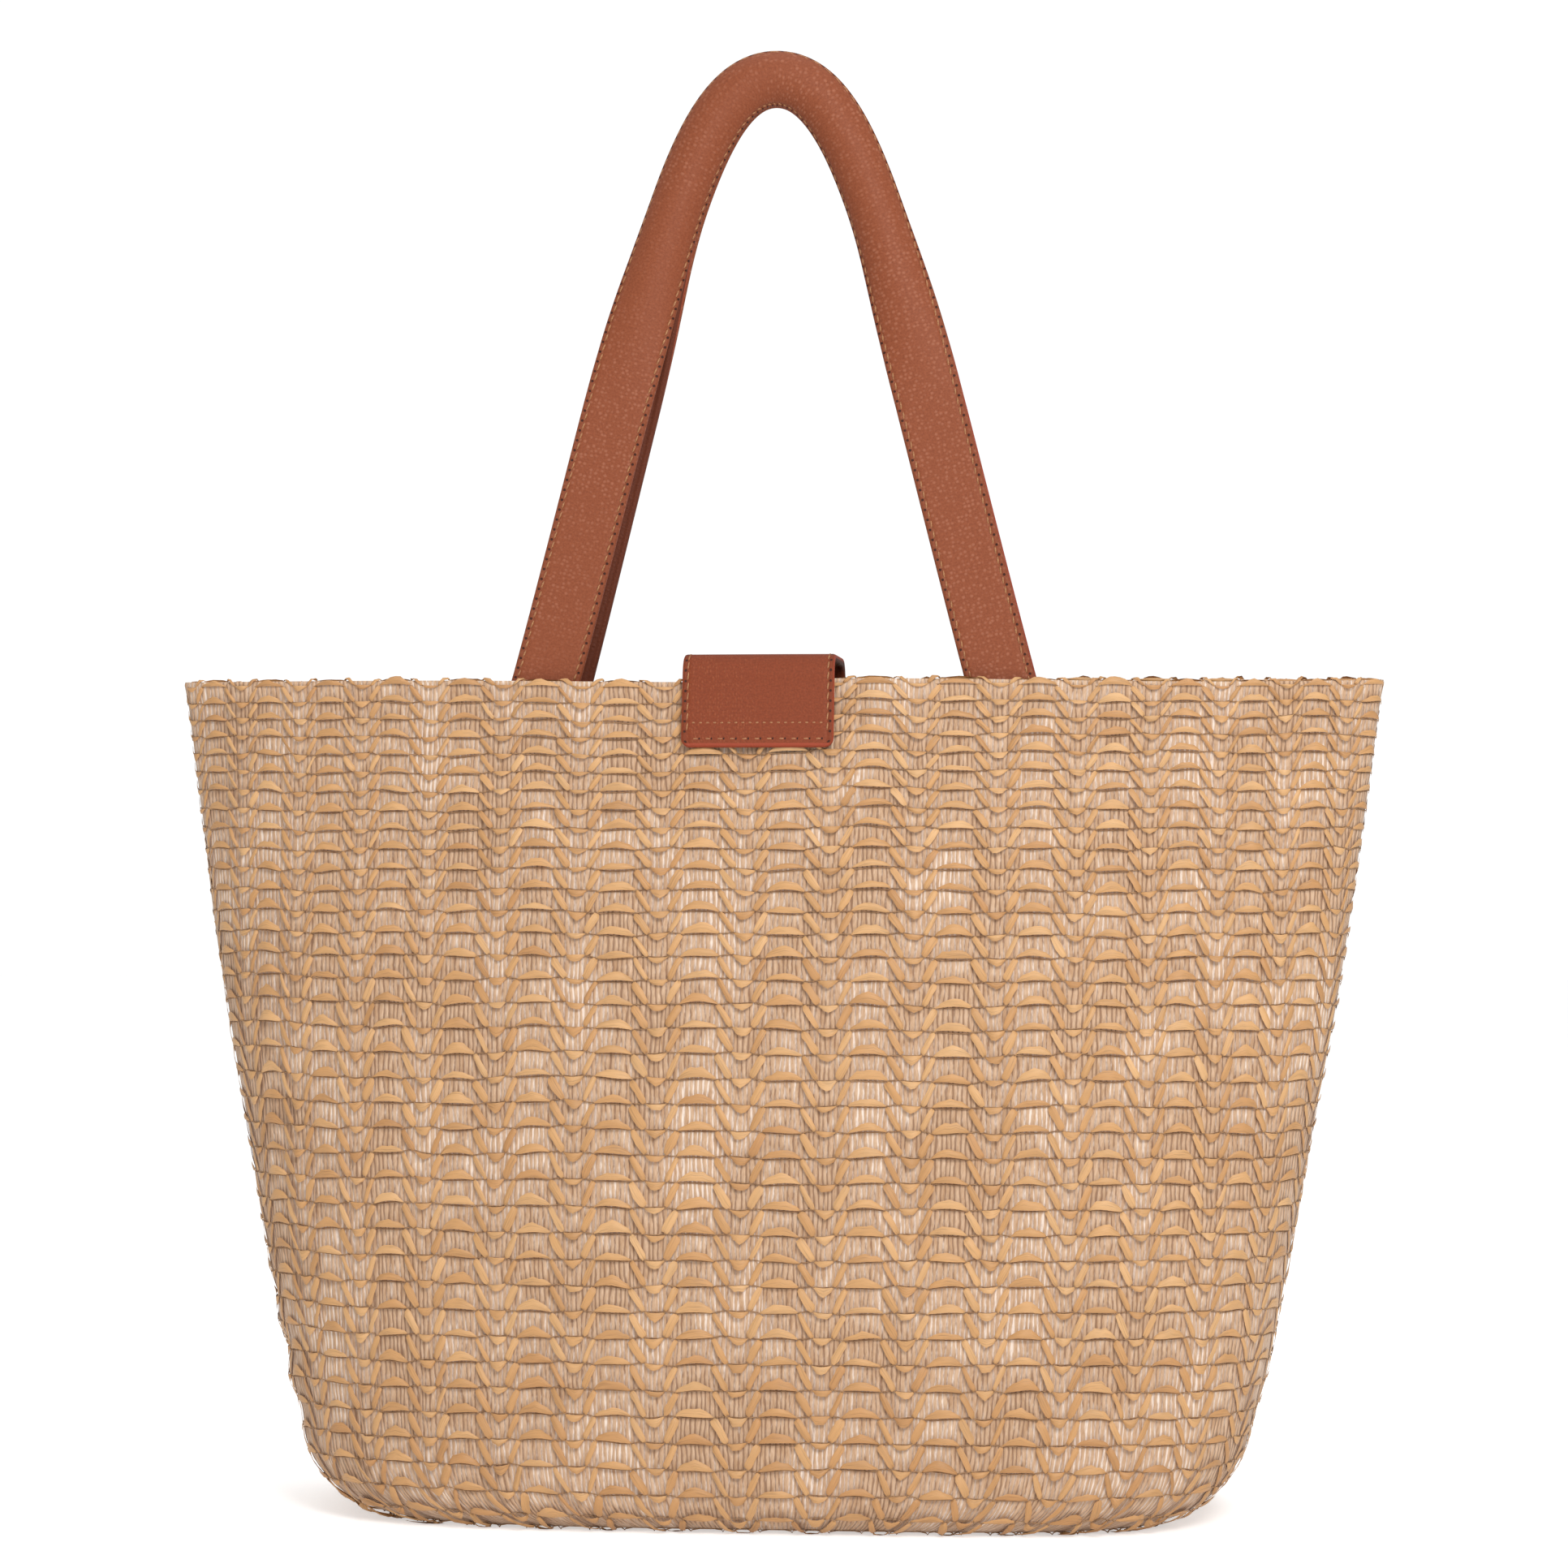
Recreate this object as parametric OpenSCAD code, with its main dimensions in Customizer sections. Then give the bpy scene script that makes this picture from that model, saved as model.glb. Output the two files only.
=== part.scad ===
// Woven straw tote: a lofted, lined bag body with two strap handles, a snap tab over the
// mouth and an inner zip pocket. Millimetres, +Z up. The origin is at the centre of the base.
// The side that the closing tab is sewn to is the back of the bag, towards -Y.

/* [Bag body] */
// Width of the mouth, from side to side
rim_w = 450; // [400:5:500]
// Depth of the mouth at its middle
rim_d = 48; // [44:1:60]
// Width of the base
base_w = 336; // [320:2:380]
// Depth of the base
base_d = 140; // [120:2:160]
// Height of the rim above the ground
height = 306; // [290:2:330]
// How far the walls belly out between base and rim
belly = 5; // [2:0.5:6]
// Radius of the base's end corners, seen from the front
corner_r = 30; // [25:1:35]
// Radius of the base's long edges, seen from the side
edge_r = 15; // [12:1:18]
// Thickness of the woven fabric
weave_t = 2.4; // [2:0.1:2.6]

/* [Inside] */
// Thickness of the lining cloth
lining_t = 0.6; // [0.4:0.1:0.8]
// Depth of the facing band inside the mouth
facing_h = 30; // [24:1:36]
// Thickness of the base board
board_t = 2; // [1.5:0.1:2.2]
// Width of the binding on the side seams
binding_w = 14; // [10:1:18]

/* [Handles] */
// Width of a handle strap
strap_w = 25; // [22:0.5:28]
// Thickness of the strap's face leather
strap_face_t = 1.9; // [1.5:0.1:2]
// Thickness of the strap's backing leather
strap_back_t = 1.5; // [1.2:0.1:1.6]
// Distance between the middles of a handle's two legs
leg_spacing = 168; // [160:1:176]
// Height of the handle's top above the rim, at the middle of the strap
handle_rise = 225; // [200:0.5:240]
// How far each edge of the strap curls back at the top, in degrees
apex_curl = 78; // [70:1:82]
// Length of strap sewn down inside the mouth
strap_end = 38; // [30:1:42]

/* [Closing tab] */
// Width of the tab
tab_w = 56; // [50:1:60]
// How far the tab sits to the left of the middle
tab_shift = 4; // [0:1:6]
// Thickness of the tab's face leather
tab_face_t = 1.7; // [1.5:0.1:1.9]
// Thickness of the tab's backing leather
tab_back_t = 1.3; // [1.1:0.1:1.4]
// Length of tab sewn to the back panel below the rim
tab_sewn = 25; // [22:1:28]
// Diameter of the magnetic snap
snap_d = 18; // [16:0.5:19]

/* [Pockets] */
// Width of the zip pocket
zip_pocket_w = 170; // [150:2:180]
// Drop of the zip pocket below its zip
zip_pocket_h = 104; // [90:2:106]
// Width of the slip pocket
slip_w = 150; // [130:2:160]
// Height of the slip pocket
slip_h = 108; // [90:2:110]

/* [Hidden] */

BACK = -1;
FRONT = 1;
ring_steps = 56;            // points round one section of the body
seam_gap = 0.3;             // daylight between the two panels at the seams
rim_power = 2;              // the mouth is an ellipse
base_power = 3.8;           // the base is close to a rounded rectangle
facing_in = 2.6;            // the facing's outer side, in from the body's outer side
facing_t = 1.3;
lining_in = 3.6;            // the lining's outer side, in from the body's outer side
lining_floor = 5.2;         // underside of the lining's floor
binding_t = 0.7;
strap_t = strap_face_t + strap_back_t;
strap_clear = 0.9;          // from the facing to the strap
tab_t = tab_face_t + tab_back_t;
tab_gap = 0.2;              // from the weave to the tab
tab_bend_r = 6;             // inner radius of the tab's bends over the mouth
split = 0.3;                // half the slot where a strap or tab is parted at its bend
snap_z = 264;               // height of the snap on the front panel
socket_t = 2;
stud_t = 1.4;
nose_d = 6;
nose_h = 1.2;
snap_air = 0.1;             // daylight between the snap's halves
washer_d = 14;
washer_t = 0.6;
pocket_stand = 4.2;         // from the lining to the pocket's flat panel
pocket_t = 0.8;
zip_z = 216;                // height of the zip on the back wall
zip_len = 156;
tape_w = 11;
tape_t = 0.5;
tooth_pitch = 2.5;
tooth = [1.3, 1.8, 1.5];
zip_channel = 0.5;          // slot between the two rows of teeth
slip_z = 200;               // height of the slip pocket's hem on the front wall
slip_hem = 14;
slip_stand = 4;
leather = [0.62, 0.34, 0.22];
leather_dark = [0.42, 0.2, 0.14];
straw = [0.8, 0.65, 0.48];
cloth = [0.86, 0.8, 0.72];
brass = [0.72, 0.6, 0.36];

function mix(a, b, t) = a + (b - a) * t;
function smooth(t) = t <= 0 ? 0 : t >= 1 ? 1 : t * t * (3 - 2 * t);
function half_w(z) = mix(base_w, rim_w, z / height) / 2 + belly * sin(180 * z / height);
function half_d(z) = mix(base_d, rim_d, z / height) / 2 + belly * sin(180 * z / height);
function power(z) = mix(base_power, rim_power, z / height);
// How far a rounded bottom edge of radius r pulls a section in at height z above its floor
function pull_in(z, r) = z >= r ? 0 : r - sqrt(r * r - (r - z) * (r - z));
function spow(v, p) = sign(v) * pow(abs(v), p);
// How far down from the panel's middle its depth has fallen, at x across and height z
function fall(x, z) = pow(1 - pow(abs(x) / half_w(z), power(z)), 1 / power(z));
// The lean of the back and front walls from upright at height z, in degrees
function lean(z) = atan((half_d(z - 1) - half_d(z + 1)) / 2);

function section(z, inset, floor_z) = [
    for (i = [0 : ring_steps - 1])
        let (u = 360 * i / ring_steps, p = 2 / power(z))
        [
            (half_w(z) - inset - pull_in(z - floor_z, corner_r)) * spow(cos(u), p),
            (half_d(z) - inset - pull_in(z - floor_z, edge_r)) * spow(sin(u), p),
            z
        ]
];

// Heights of the sections: close together round the bottom edge, then even
function levels(floor_z, top) = concat(
    [for (s = [0, 0.02, 0.08, 0.18, 0.34, 0.6, 1]) floor_z + corner_r * s],
    [for (i = [1 : 8]) mix(floor_z + corner_r, top, i / 8)]
);

// A closed solid through rings of points, each ring as long as the others. The four-cornered sides are
// split along one diagonal, or along the other, so that a solid can lie face to face with its neighbour.
module through(rings, other_way = false) {
    n = len(rings[0]);
    m = len(rings);
    sides = [
        for (j = [0 : m - 2], i = [0 : n - 1])
            let (k = (i + 1) % n, a = j * n + i, b = j * n + k, c = (j + 1) * n + k, d = (j + 1) * n + i)
            each other_way ? [[a, d, b], [b, d, c]] : [[a, c, b], [a, d, c]]
    ];
    bottom = [for (i = [0 : n - 1]) i];
    top = [for (i = [n - 1 : -1 : 0]) (m - 1) * n + i];
    polyhedron(points = [for (r = rings) each r], faces = concat([bottom, top], sides));
}

module body_solid(inset, floor_z, top) {
    through([for (z = levels(floor_z, top)) section(z, inset, floor_z)]);
}

// A skin of the body between two insets, open at the top
module body_skin(outer, outer_floor, inner, inner_floor, top) {
    difference() {
        body_solid(outer, outer_floor, top);
        body_solid(inner, inner_floor, top + 1);
    }
}

// Everything on one side of the seams
module half_space(side) {
    translate([-rim_w, side > 0 ? seam_gap / 2 : -rim_w - seam_gap / 2, -1])
        cube([2 * rim_w, rim_w, height + 2]);
}

module panel(side) {
    color(straw)
        intersection() {
            body_skin(0, 0, weave_t, weave_t, height);
            half_space(side);
        }
}

module side_seam_bindings() {
    inset = weave_t + 0.1;
    color(cloth)
        for (side = [-1, 1])
            intersection() {
                body_skin(inset, inset, inset + binding_t, inset + binding_t, height - facing_h - 2);
                translate([side > 0 ? 0 : -rim_w, -binding_w / 2, corner_r])
                    cube([rim_w, binding_w, height]);
            }
}

module mouth_facing() {
    low = height - facing_h;
    color(cloth)
        difference() {
            through([for (z = [low, mix(low, height, 0.5), height - 0.5]) section(z, facing_in, 0)]);
            through([for (z = [low - 1, mix(low, height, 0.5), height + 1]) section(z, facing_in + facing_t, 0)]);
        }
}

module lining() {
    color(cloth)
        body_skin(lining_in, lining_floor, lining_in + lining_t, lining_floor + lining_t,
            height - facing_h - 0.5);
}

module base_board() {
    low = weave_t + 0.2;
    color("dimgray")
        translate([0, 0, low])
            linear_extrude(board_t)
                polygon([for (p = section(low, weave_t + 0.6, weave_t)) [p[0], p[1]]]);
}

// ---- Handles. Each is made on the back side and turned about Z for the front.

strap_x = leg_spacing / 2;
wall_y = half_d(height) * fall(strap_x, height);                        // the rim's outer side at a leg
strap_y = wall_y - facing_in - facing_t - strap_clear - strap_t / 2;    // middle of the strap at the rim
apex_r = strap_w * 90 / (PI * apex_curl);                               // of the curled strap's middle layer
apex_y = apex_r * (1 - cos(apex_curl)) + strap_t / 2 * cos(apex_curl) + split;
hinge_z = height + 0.5;
loop_steps = 44;
curl_from = 0.4;           // shares of the leg's height where the curl starts and is full
curl_full = 0.8;
lanes = 6;                  // flats across the strap

// The strap's middle line on the right leg is one cubic curve from the rim to the top
leg_curve = [[strap_x, 0], [strap_x * 0.54, handle_rise * 0.655], [strap_x * 0.39, handle_rise], [0, handle_rise]];
function bezier(c, t) = (1 - t) * (1 - t) * (1 - t) * c[0] + 3 * (1 - t) * (1 - t) * t * c[1]
    + 3 * (1 - t) * t * t * c[2] + t * t * t * c[3];
leg_splay = atan((leg_curve[0][0] - leg_curve[1][0]) / leg_curve[1][1]);     // at the rim, from upright
function leg_point(t) = let (p = bezier(leg_curve, t), s = p[1] / handle_rise)
    [p[0], -mix(strap_y, apex_y, s), hinge_z + p[1]];
// s runs from -1 at the left foot over the top at 0 to 1 at the right foot
function loop_point(s) = let (p = leg_point(1 - abs(s))) [p[0] * (s < 0 ? -1 : 1), p[1], p[2]];
function unit(v) = v / norm(v);
function loop_along(s) = unit(loop_point(min(1, s + 0.01)) - loop_point(max(-1, s - 0.01)));
function loop_curl(s) = apex_curl * smooth(((loop_point(s)[2] - hinge_z) / handle_rise - curl_from)
    / (curl_full - curl_from));
// Directions across the strap: to the inside of the loop, and out of its face
function loop_wide(s) = unit(cross(loop_along(s), [0, -1, 0]));
function loop_face(s) = unit(cross(loop_along(s), -loop_wide(s)));

// A point of the strap: w is -1 at its outer edge and 1 at its inner one, and off is out of its face
function strap_point(s, w, off) = let (
    curl = max(loop_curl(s), 0.05), r = strap_w * 90 / (PI * curl))
    loop_point(s) + loop_wide(s) * (r + off) * sin(curl * w) + loop_face(s) * ((r + off) * cos(curl * w) - r);
function strap_ring(s, low, high) = concat(
    [for (i = [0 : lanes]) strap_point(s, 2 * i / lanes - 1, low)],
    [for (i = [lanes : -1 : 0]) strap_point(s, 2 * i / lanes - 1, high)]
);

// The ring at a foot, slid along the leg until all of it is level with the top of the slot
function foot_ring(s, low, high) = let (t = loop_along(s))
    [for (p = strap_ring(s, low, high)) p + t * (hinge_z + split - p[2]) / t[2]];

module strap_loop(low, high, other_way) {
    half = loop_steps / 2;
    rings = [for (i = [1 - half : half - 1]) strap_ring(i / half, low, high)];
    through(concat([foot_ring(-1, low, high)], rings, [foot_ring(1, low, high)]), other_way);
}

module strap_ends(low, high) {
    for (side = [-1, 1])
        difference() {
            translate([side * strap_x, -strap_y, hinge_z])
                rotate([1 - lean(height), 0, 0])
                    rotate([0, -side * leg_splay, 0])
                        translate([-strap_w / 2, -high, -strap_end])
                            cube([strap_w, high - low, strap_end + strap_w]);
            translate([-rim_w / 2, -rim_d, hinge_z - split])
                cube([rim_w, 2 * rim_d, rim_d]);
        }
}

face_layer = [strap_back_t - strap_t / 2, strap_t / 2];
backing_layer = [-strap_t / 2, strap_back_t - strap_t / 2];

module turned(side) {
    rotate([0, 0, side == BACK ? 0 : 180])
        children();
}

module strap_face_loop(side) {
    color(leather)
        turned(side)
            strap_loop(face_layer[0], face_layer[1], false);
}

module strap_backing_loop(side) {
    color(leather_dark)
        turned(side)
            strap_loop(backing_layer[0], backing_layer[1], true);
}

module strap_face_ends(side) {
    color(leather)
        turned(side)
            strap_ends(face_layer[0], face_layer[1]);
}

module strap_backing_ends(side) {
    color(leather_dark)
        turned(side)
            strap_ends(backing_layer[0], backing_layer[1]);
}

// ---- Closing tab: a strip whose inner side follows one path in the YZ plane

tab_y = rim_d / 2 + tab_gap;
tab_bend_z = height + 1;
snap_lean = lean(snap_z);
snap_out = [cos(snap_lean), sin(snap_lean)];      // out of the front wall at the snap, as [y, z]
snap_down = [sin(snap_lean), -cos(snap_lean)];
snap_seat = [half_d(snap_z), snap_z];
snap_stack = snap_air + socket_t + snap_air + stud_t + snap_air;
tab_at_snap = snap_seat + snap_out * snap_stack;
sewn_path = [[-half_d(height - tab_sewn) - tab_gap, height - tab_sewn], [-tab_y, height],
    [-tab_y, tab_bend_z - split]];
bridge_path = concat(
    [[-tab_y, tab_bend_z + split]],
    [for (a = [0 : 15 : 90]) [-tab_y + tab_bend_r * (1 - cos(a)), tab_bend_z + split + tab_bend_r * sin(a)]],
    [for (a = [90 : -15 : 0]) [tab_y - tab_bend_r * (1 - cos(a)), tab_bend_z + split + tab_bend_r * sin(a)]]
);
end_path = [[tab_y, tab_bend_z - split], tab_at_snap - snap_down * 16, tab_at_snap + snap_down * 15];

// The outward side of a path that runs from the back over the mouth to the front
function path_out(path, i) = let (
    a = path[max(0, i - 1)], b = path[min(len(path) - 1, i + 1)], d = unit(b - a)) [-d[1], d[0]];
function beside(path, off) = [for (i = [0 : len(path) - 1]) path[i] + path_out(path, i) * off];
// Repeated points would leave a path with no direction there
function distinct(path) = [for (i = [0 : len(path) - 1])
    if (i == 0 || norm(path[i] - path[i - 1]) > 0.001) path[i]];
function backwards(path) = [for (i = [len(path) - 1 : -1 : 0]) path[i]];

module tab_strip(path, low, high) {
    clean = distinct(path);
    translate([-tab_shift - tab_w / 2, 0, 0])
        rotate([90, 0, 90])
            linear_extrude(tab_w)
                polygon(concat(beside(clean, low), backwards(beside(clean, high))));
}

// Places children with +Z out of the front wall at the snap
module at_snap() {
    translate([-tab_shift, snap_seat[0], snap_seat[1]])
        rotate([snap_lean - 90, 0, 0])
            children();
}

module tab_sewn_face() {
    color(leather)
        tab_strip(sewn_path, tab_back_t, tab_t);
}

module tab_sewn_backing() {
    color(leather_dark)
        tab_strip(sewn_path, 0, tab_back_t);
}

module tab_bridge_face() {
    color(leather)
        tab_strip(bridge_path, tab_back_t, tab_t);
}

module tab_bridge_backing() {
    color(leather_dark)
        tab_strip(bridge_path, 0, tab_back_t);
}

module tab_end_face() {
    color(leather)
        difference() {
            tab_strip(end_path, tab_back_t, tab_t);
            at_snap()
                translate([0, 0, snap_stack])
                    cylinder(d = washer_d + 0.4, h = tab_back_t + washer_t + 0.1, $fn = 48);
        }
}

module tab_end_backing() {
    color(leather_dark)
        difference() {
            tab_strip(end_path, 0, tab_back_t);
            at_snap()
                cylinder(d = nose_d / 2, h = snap_stack + tab_back_t + 1, $fn = 32);
        }
}

module snap_stud() {
    color(brass)
        at_snap()
            translate([0, 0, snap_air + socket_t + snap_air]) {
                cylinder(d = snap_d, h = stud_t, $fn = 64);
                translate([0, 0, -snap_air - nose_h])
                    cylinder(d = nose_d, h = snap_air + nose_h, $fn = 48);
                cylinder(d = nose_d / 2 - 0.1, h = stud_t + snap_air + tab_back_t, $fn = 32);
            }
}

module snap_stud_washer() {
    color(brass)
        at_snap()
            translate([0, 0, snap_stack + tab_back_t + 0.02])
                cylinder(d = washer_d, h = washer_t, $fn = 48);
}

module snap_socket() {
    color(brass)
        at_snap()
            translate([0, 0, snap_air])
                difference() {
                    cylinder(d = snap_d, h = socket_t, $fn = 64);
                    translate([0, 0, 0.4])
                        cylinder(d = nose_d + 0.6, h = socket_t, $fn = 48);
                }
}

module snap_socket_washer() {
    color(brass)
        at_snap()
            translate([0, 0, -weave_t - 0.15 - washer_t])
                difference() {
                    cylinder(d = washer_d, h = washer_t, $fn = 48);
                    translate([0, 0, -1])
                        cylinder(d = 5, h = washer_t + 2, $fn = 32);
                }
}

// ---- Pockets. Local X is across the bag, Y up the wall, and -Z into the bag.

zip_lean = lean(zip_z);
zip_base_y = half_d(zip_z) - lining_in - lining_t - pocket_stand;

module on_back_wall() {
    translate([0, -zip_base_y, zip_z])
        rotate([90 - zip_lean, 0, 0])
            children();
}

module on_front_wall() {
    translate([0, half_d(slip_z) - lining_in - lining_t - slip_stand, slip_z])
        rotate([90 + lean(slip_z), 0, 0])
            mirror([0, 0, 1])
                children();
}

module zip_pocket_panel() {
    color(cloth)
        on_back_wall()
            translate([-zip_pocket_w / 2, -zip_pocket_h, -pocket_t])
                cube([zip_pocket_w, zip_pocket_h - tape_w / 2, pocket_t]);
}

module zip_tape(side) {
    low = side > 0 ? zip_channel / 2 + tooth[1] + 0.05 : -tape_w - 2;
    color("tan")
        on_back_wall()
            translate([-zip_len / 2 - 4, low, 0.1])
                cube([zip_len + 8, tape_w - 0.05, tape_t]);
}

module zip_teeth() {
    color(brass)
        on_back_wall()
            for (x = [-zip_len / 2 + 2 : tooth_pitch : zip_len / 2 - 2], side = [-1, 1])
                translate([x + side * tooth_pitch / 4 - tooth[0] / 2,
                        side > 0 ? zip_channel / 2 : -zip_channel / 2 - tooth[1], -tooth[2] / 2 + 0.2])
                    cube(tooth);
}

module zip_end_stops() {
    color(brass)
        on_back_wall()
            for (side = [-1, 1])
                translate([side * (zip_len / 2 + 1.5) - 1, -2.2, -1])
                    cube([2, 4.4, 1.05]);
}

slider_len = 9;
slider_w = 7.6;
slider_x = zip_len / 2 - 6;     // where the slider rests, at the closed end
pull_len = 26;
pin_d = 1.2;
pin_z = -4.2;

module zip_slider() {
    color(brass)
        on_back_wall()
            translate([slider_x, 0, 0]) {
                // the plate that faces into the bag, with two lugs that hold the pull's pin
                translate([-slider_len / 2, -slider_w / 2, -2.2])
                    cube([slider_len, slider_w, 1.2]);
                for (side = [-1, 1])
                    translate([-1.4, side * 3 - 0.5, pin_z - 1.2])
                        cube([2.8, 1, 3.2 + 0.1]);
                rotate([90, 0, 0])
                    translate([0, pin_z, -3.2])
                        cylinder(d = pin_d, h = 6.4, $fn = 32);
                // the thin post and the plate behind the tape
                translate([-1, -zip_channel / 2 + 0.1, -1.1])
                    cube([2, zip_channel - 0.2, 2.4]);
                translate([-slider_len / 2, -slider_w / 2, 1.2])
                    cube([slider_len, slider_w, 0.6]);
            }
}

module zip_pull() {
    eye_w = 4.6;
    color(brass)
        on_back_wall()
            translate([slider_x, 0, pin_z])
                difference() {
                    union() {
                        rotate([90, 0, 0])
                            translate([0, 0, -eye_w / 2])
                                cylinder(d = 2.6, h = eye_w, $fn = 32);
                        translate([-pull_len, -eye_w / 2, -0.5])
                            cube([pull_len, eye_w, 1]);
                    }
                    rotate([90, 0, 0])
                        translate([0, 0, -eye_w])
                            cylinder(d = pin_d + 0.16, h = 2 * eye_w, $fn = 32);
                }
}

module slip_pocket() {
    color(cloth)
        on_front_wall()
            translate([-slip_w / 2, -slip_h, -pocket_t])
                cube([slip_w, slip_h - slip_hem, pocket_t]);
}

module slip_pocket_hem() {
    color("tan")
        on_front_wall()
            translate([-slip_w / 2, -slip_hem + 0.02, -pocket_t - 0.4])
                cube([slip_w, slip_hem, pocket_t + 0.6]);
}

panel(BACK);  // back_panel
panel(FRONT);  // front_panel
side_seam_bindings();
mouth_facing();
lining();
base_board();
strap_face_loop(BACK);  // back_strap_face_loop
strap_backing_loop(BACK);  // back_strap_backing_loop
strap_face_ends(BACK);  // back_strap_face_ends
strap_backing_ends(BACK);  // back_strap_backing_ends
strap_face_loop(FRONT);  // front_strap_face_loop
strap_backing_loop(FRONT);  // front_strap_backing_loop
strap_face_ends(FRONT);  // front_strap_face_ends
strap_backing_ends(FRONT);  // front_strap_backing_ends
tab_sewn_face();
tab_sewn_backing();
tab_bridge_face();
tab_bridge_backing();
tab_end_face();
tab_end_backing();
snap_stud();
snap_stud_washer();
snap_socket();
snap_socket_washer();
zip_pocket_panel();
zip_tape(1);  // zip_tape_upper
zip_tape(-1);  // zip_tape_lower
zip_teeth();
zip_end_stops();
zip_slider();
zip_pull();
slip_pocket();
slip_pocket_hem();
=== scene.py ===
# %% [markdown]
# # A woven straw tote
# The bag is a soft shell: strips of paper raffia, stitched in waves onto a ground of jute yarns, and a
# cotton lining inside. Two leather straps and a leather tab with a magnetic snap are sewn to it.
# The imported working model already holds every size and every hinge, so it comes in first, and each piece
# below is made in its place, in metres, with the base of the bag on the ground at the origin.

# %% The working model
import math

import bmesh
import bpy
import numpy as np
from mathutils import Matrix, Vector


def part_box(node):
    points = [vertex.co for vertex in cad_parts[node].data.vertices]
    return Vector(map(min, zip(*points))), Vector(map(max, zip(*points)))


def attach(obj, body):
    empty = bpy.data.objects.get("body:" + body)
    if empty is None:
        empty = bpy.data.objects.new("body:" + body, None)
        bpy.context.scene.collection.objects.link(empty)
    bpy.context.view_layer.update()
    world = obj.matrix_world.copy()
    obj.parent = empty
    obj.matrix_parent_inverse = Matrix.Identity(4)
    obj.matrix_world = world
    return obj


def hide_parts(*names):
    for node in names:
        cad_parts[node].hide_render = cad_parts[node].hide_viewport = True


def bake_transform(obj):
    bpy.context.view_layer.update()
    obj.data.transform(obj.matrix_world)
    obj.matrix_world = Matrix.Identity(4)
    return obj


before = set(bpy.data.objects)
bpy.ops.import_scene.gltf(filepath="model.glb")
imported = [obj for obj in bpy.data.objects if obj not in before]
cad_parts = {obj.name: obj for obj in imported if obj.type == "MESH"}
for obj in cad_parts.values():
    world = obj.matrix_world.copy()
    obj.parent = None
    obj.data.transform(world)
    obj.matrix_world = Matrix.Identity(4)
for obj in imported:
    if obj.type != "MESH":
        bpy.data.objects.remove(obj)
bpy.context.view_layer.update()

MM = 0.001

# %% [markdown]
# ## Light, floor and camera
# A pale sweep under large soft lamps keeps the straw's small shadows readable without hard edges. The
# camera stands a little to the right of the middle, low enough to look straight at the mouth of the bag.
# It uses a long lens, because a short one would swell the near side.

# %% Camera
CAMERA_DISTANCE = 1.5
CAMERA_HEIGHT = 0.246
CAMERA_TURN = math.radians(5.5)
FRAME_WIDTH = 0.5838       # what the picture takes in at the middle of the bag
AIM = Vector((0.0030, 0.0, 0.2684))

camera = bpy.data.objects.new("camera", bpy.data.cameras.new("camera"))
bpy.context.scene.collection.objects.link(camera)
camera.location = (CAMERA_DISTANCE * math.sin(CAMERA_TURN), -CAMERA_DISTANCE * math.cos(CAMERA_TURN),
                   CAMERA_HEIGHT)
camera.rotation_euler = (AIM - camera.location).to_track_quat("-Z", "Y").to_euler()
camera.data.lens = camera.data.sensor_width * (AIM - camera.location).length / FRAME_WIDTH
bpy.context.scene.camera = camera
print("camera", CAMERA_DISTANCE, "m away with a", round(camera.data.lens), "mm lens")

# %% [markdown]
# ## Colours and finishes
# Colours are picked on a screen, as hex codes, but light adds up in linear values, so one function turns
# them. Every finish is one Principled shader with a few patterns that feed it. One helper adds a node with
# its settings and what goes into it, so a finish reads from top to bottom.

# %% Colours and nodes
def colour(code):
    """A hex colour as the screen shows it, turned to the linear values that light works in."""
    parts = [int(code[i:i + 2], 16) / 255 for i in (1, 3, 5)]
    return tuple(c / 12.92 if c <= 0.04045 else ((c + 0.055) / 1.055) ** 2.4 for c in parts) + (1.0,)


def add(tree, kind, links=None, out=0, stops=(), **settings):
    """Adds a node with its settings and what feeds its inputs, which are plain values or other sockets.
    stops are (place, colour or grey) pairs for a colour ramp. It hands back one output of the node."""
    node = tree.nodes.new("ShaderNode" + kind)
    for key, value in settings.items():
        setattr(node, key, value)
    for key, value in (links or {}).items():
        if isinstance(value, bpy.types.NodeSocket):
            tree.links.new(value, node.inputs[key])
        else:
            node.inputs[key].default_value = value
    for number, (place, shade) in enumerate(stops):
        if number == len(node.color_ramp.elements):
            node.color_ramp.elements.new(1.0)
        stop = node.color_ramp.elements[number]
        stop.position = place
        stop.color = shade if isinstance(shade, tuple) else (shade,) * 3 + (1.0,)
    return node.outputs[out] if node.outputs else None


# a Mix node takes its share at input 0 and its two colours at 6 and 7, and gives the mix at output 2
TWO_COLOURS = {"out": 2, "data_type": "RGBA"}


def material(name, **values):
    """A material with one Principled shader, and that shader's plain values."""
    made = bpy.data.materials.new(name)
    made.use_nodes = True
    tree = made.node_tree
    tree.nodes.clear()
    surface = add(tree, "BsdfPrincipled", values)
    add(tree, "OutputMaterial", {"Surface": surface})
    return made, tree, surface.node


print("straw colour as light:", [round(part, 3) for part in colour("#CB9963")[:3]])

# %% Floor and lamps
floor_mesh = bpy.data.meshes.new("floor")
bm = bmesh.new()
bmesh.ops.create_grid(bm, x_segments=1, y_segments=1, size=6)
bm.to_mesh(floor_mesh)
bm.free()
floor = bpy.data.objects.new("floor", floor_mesh)
bpy.context.scene.collection.objects.link(floor)
floor_paint, tree, shader = material("matt_studio_paint", **{
    "Roughness": 0.9, "Base Color": colour("#F2F2F2"), "Emission Color": colour("#FFFFFF")})
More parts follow.
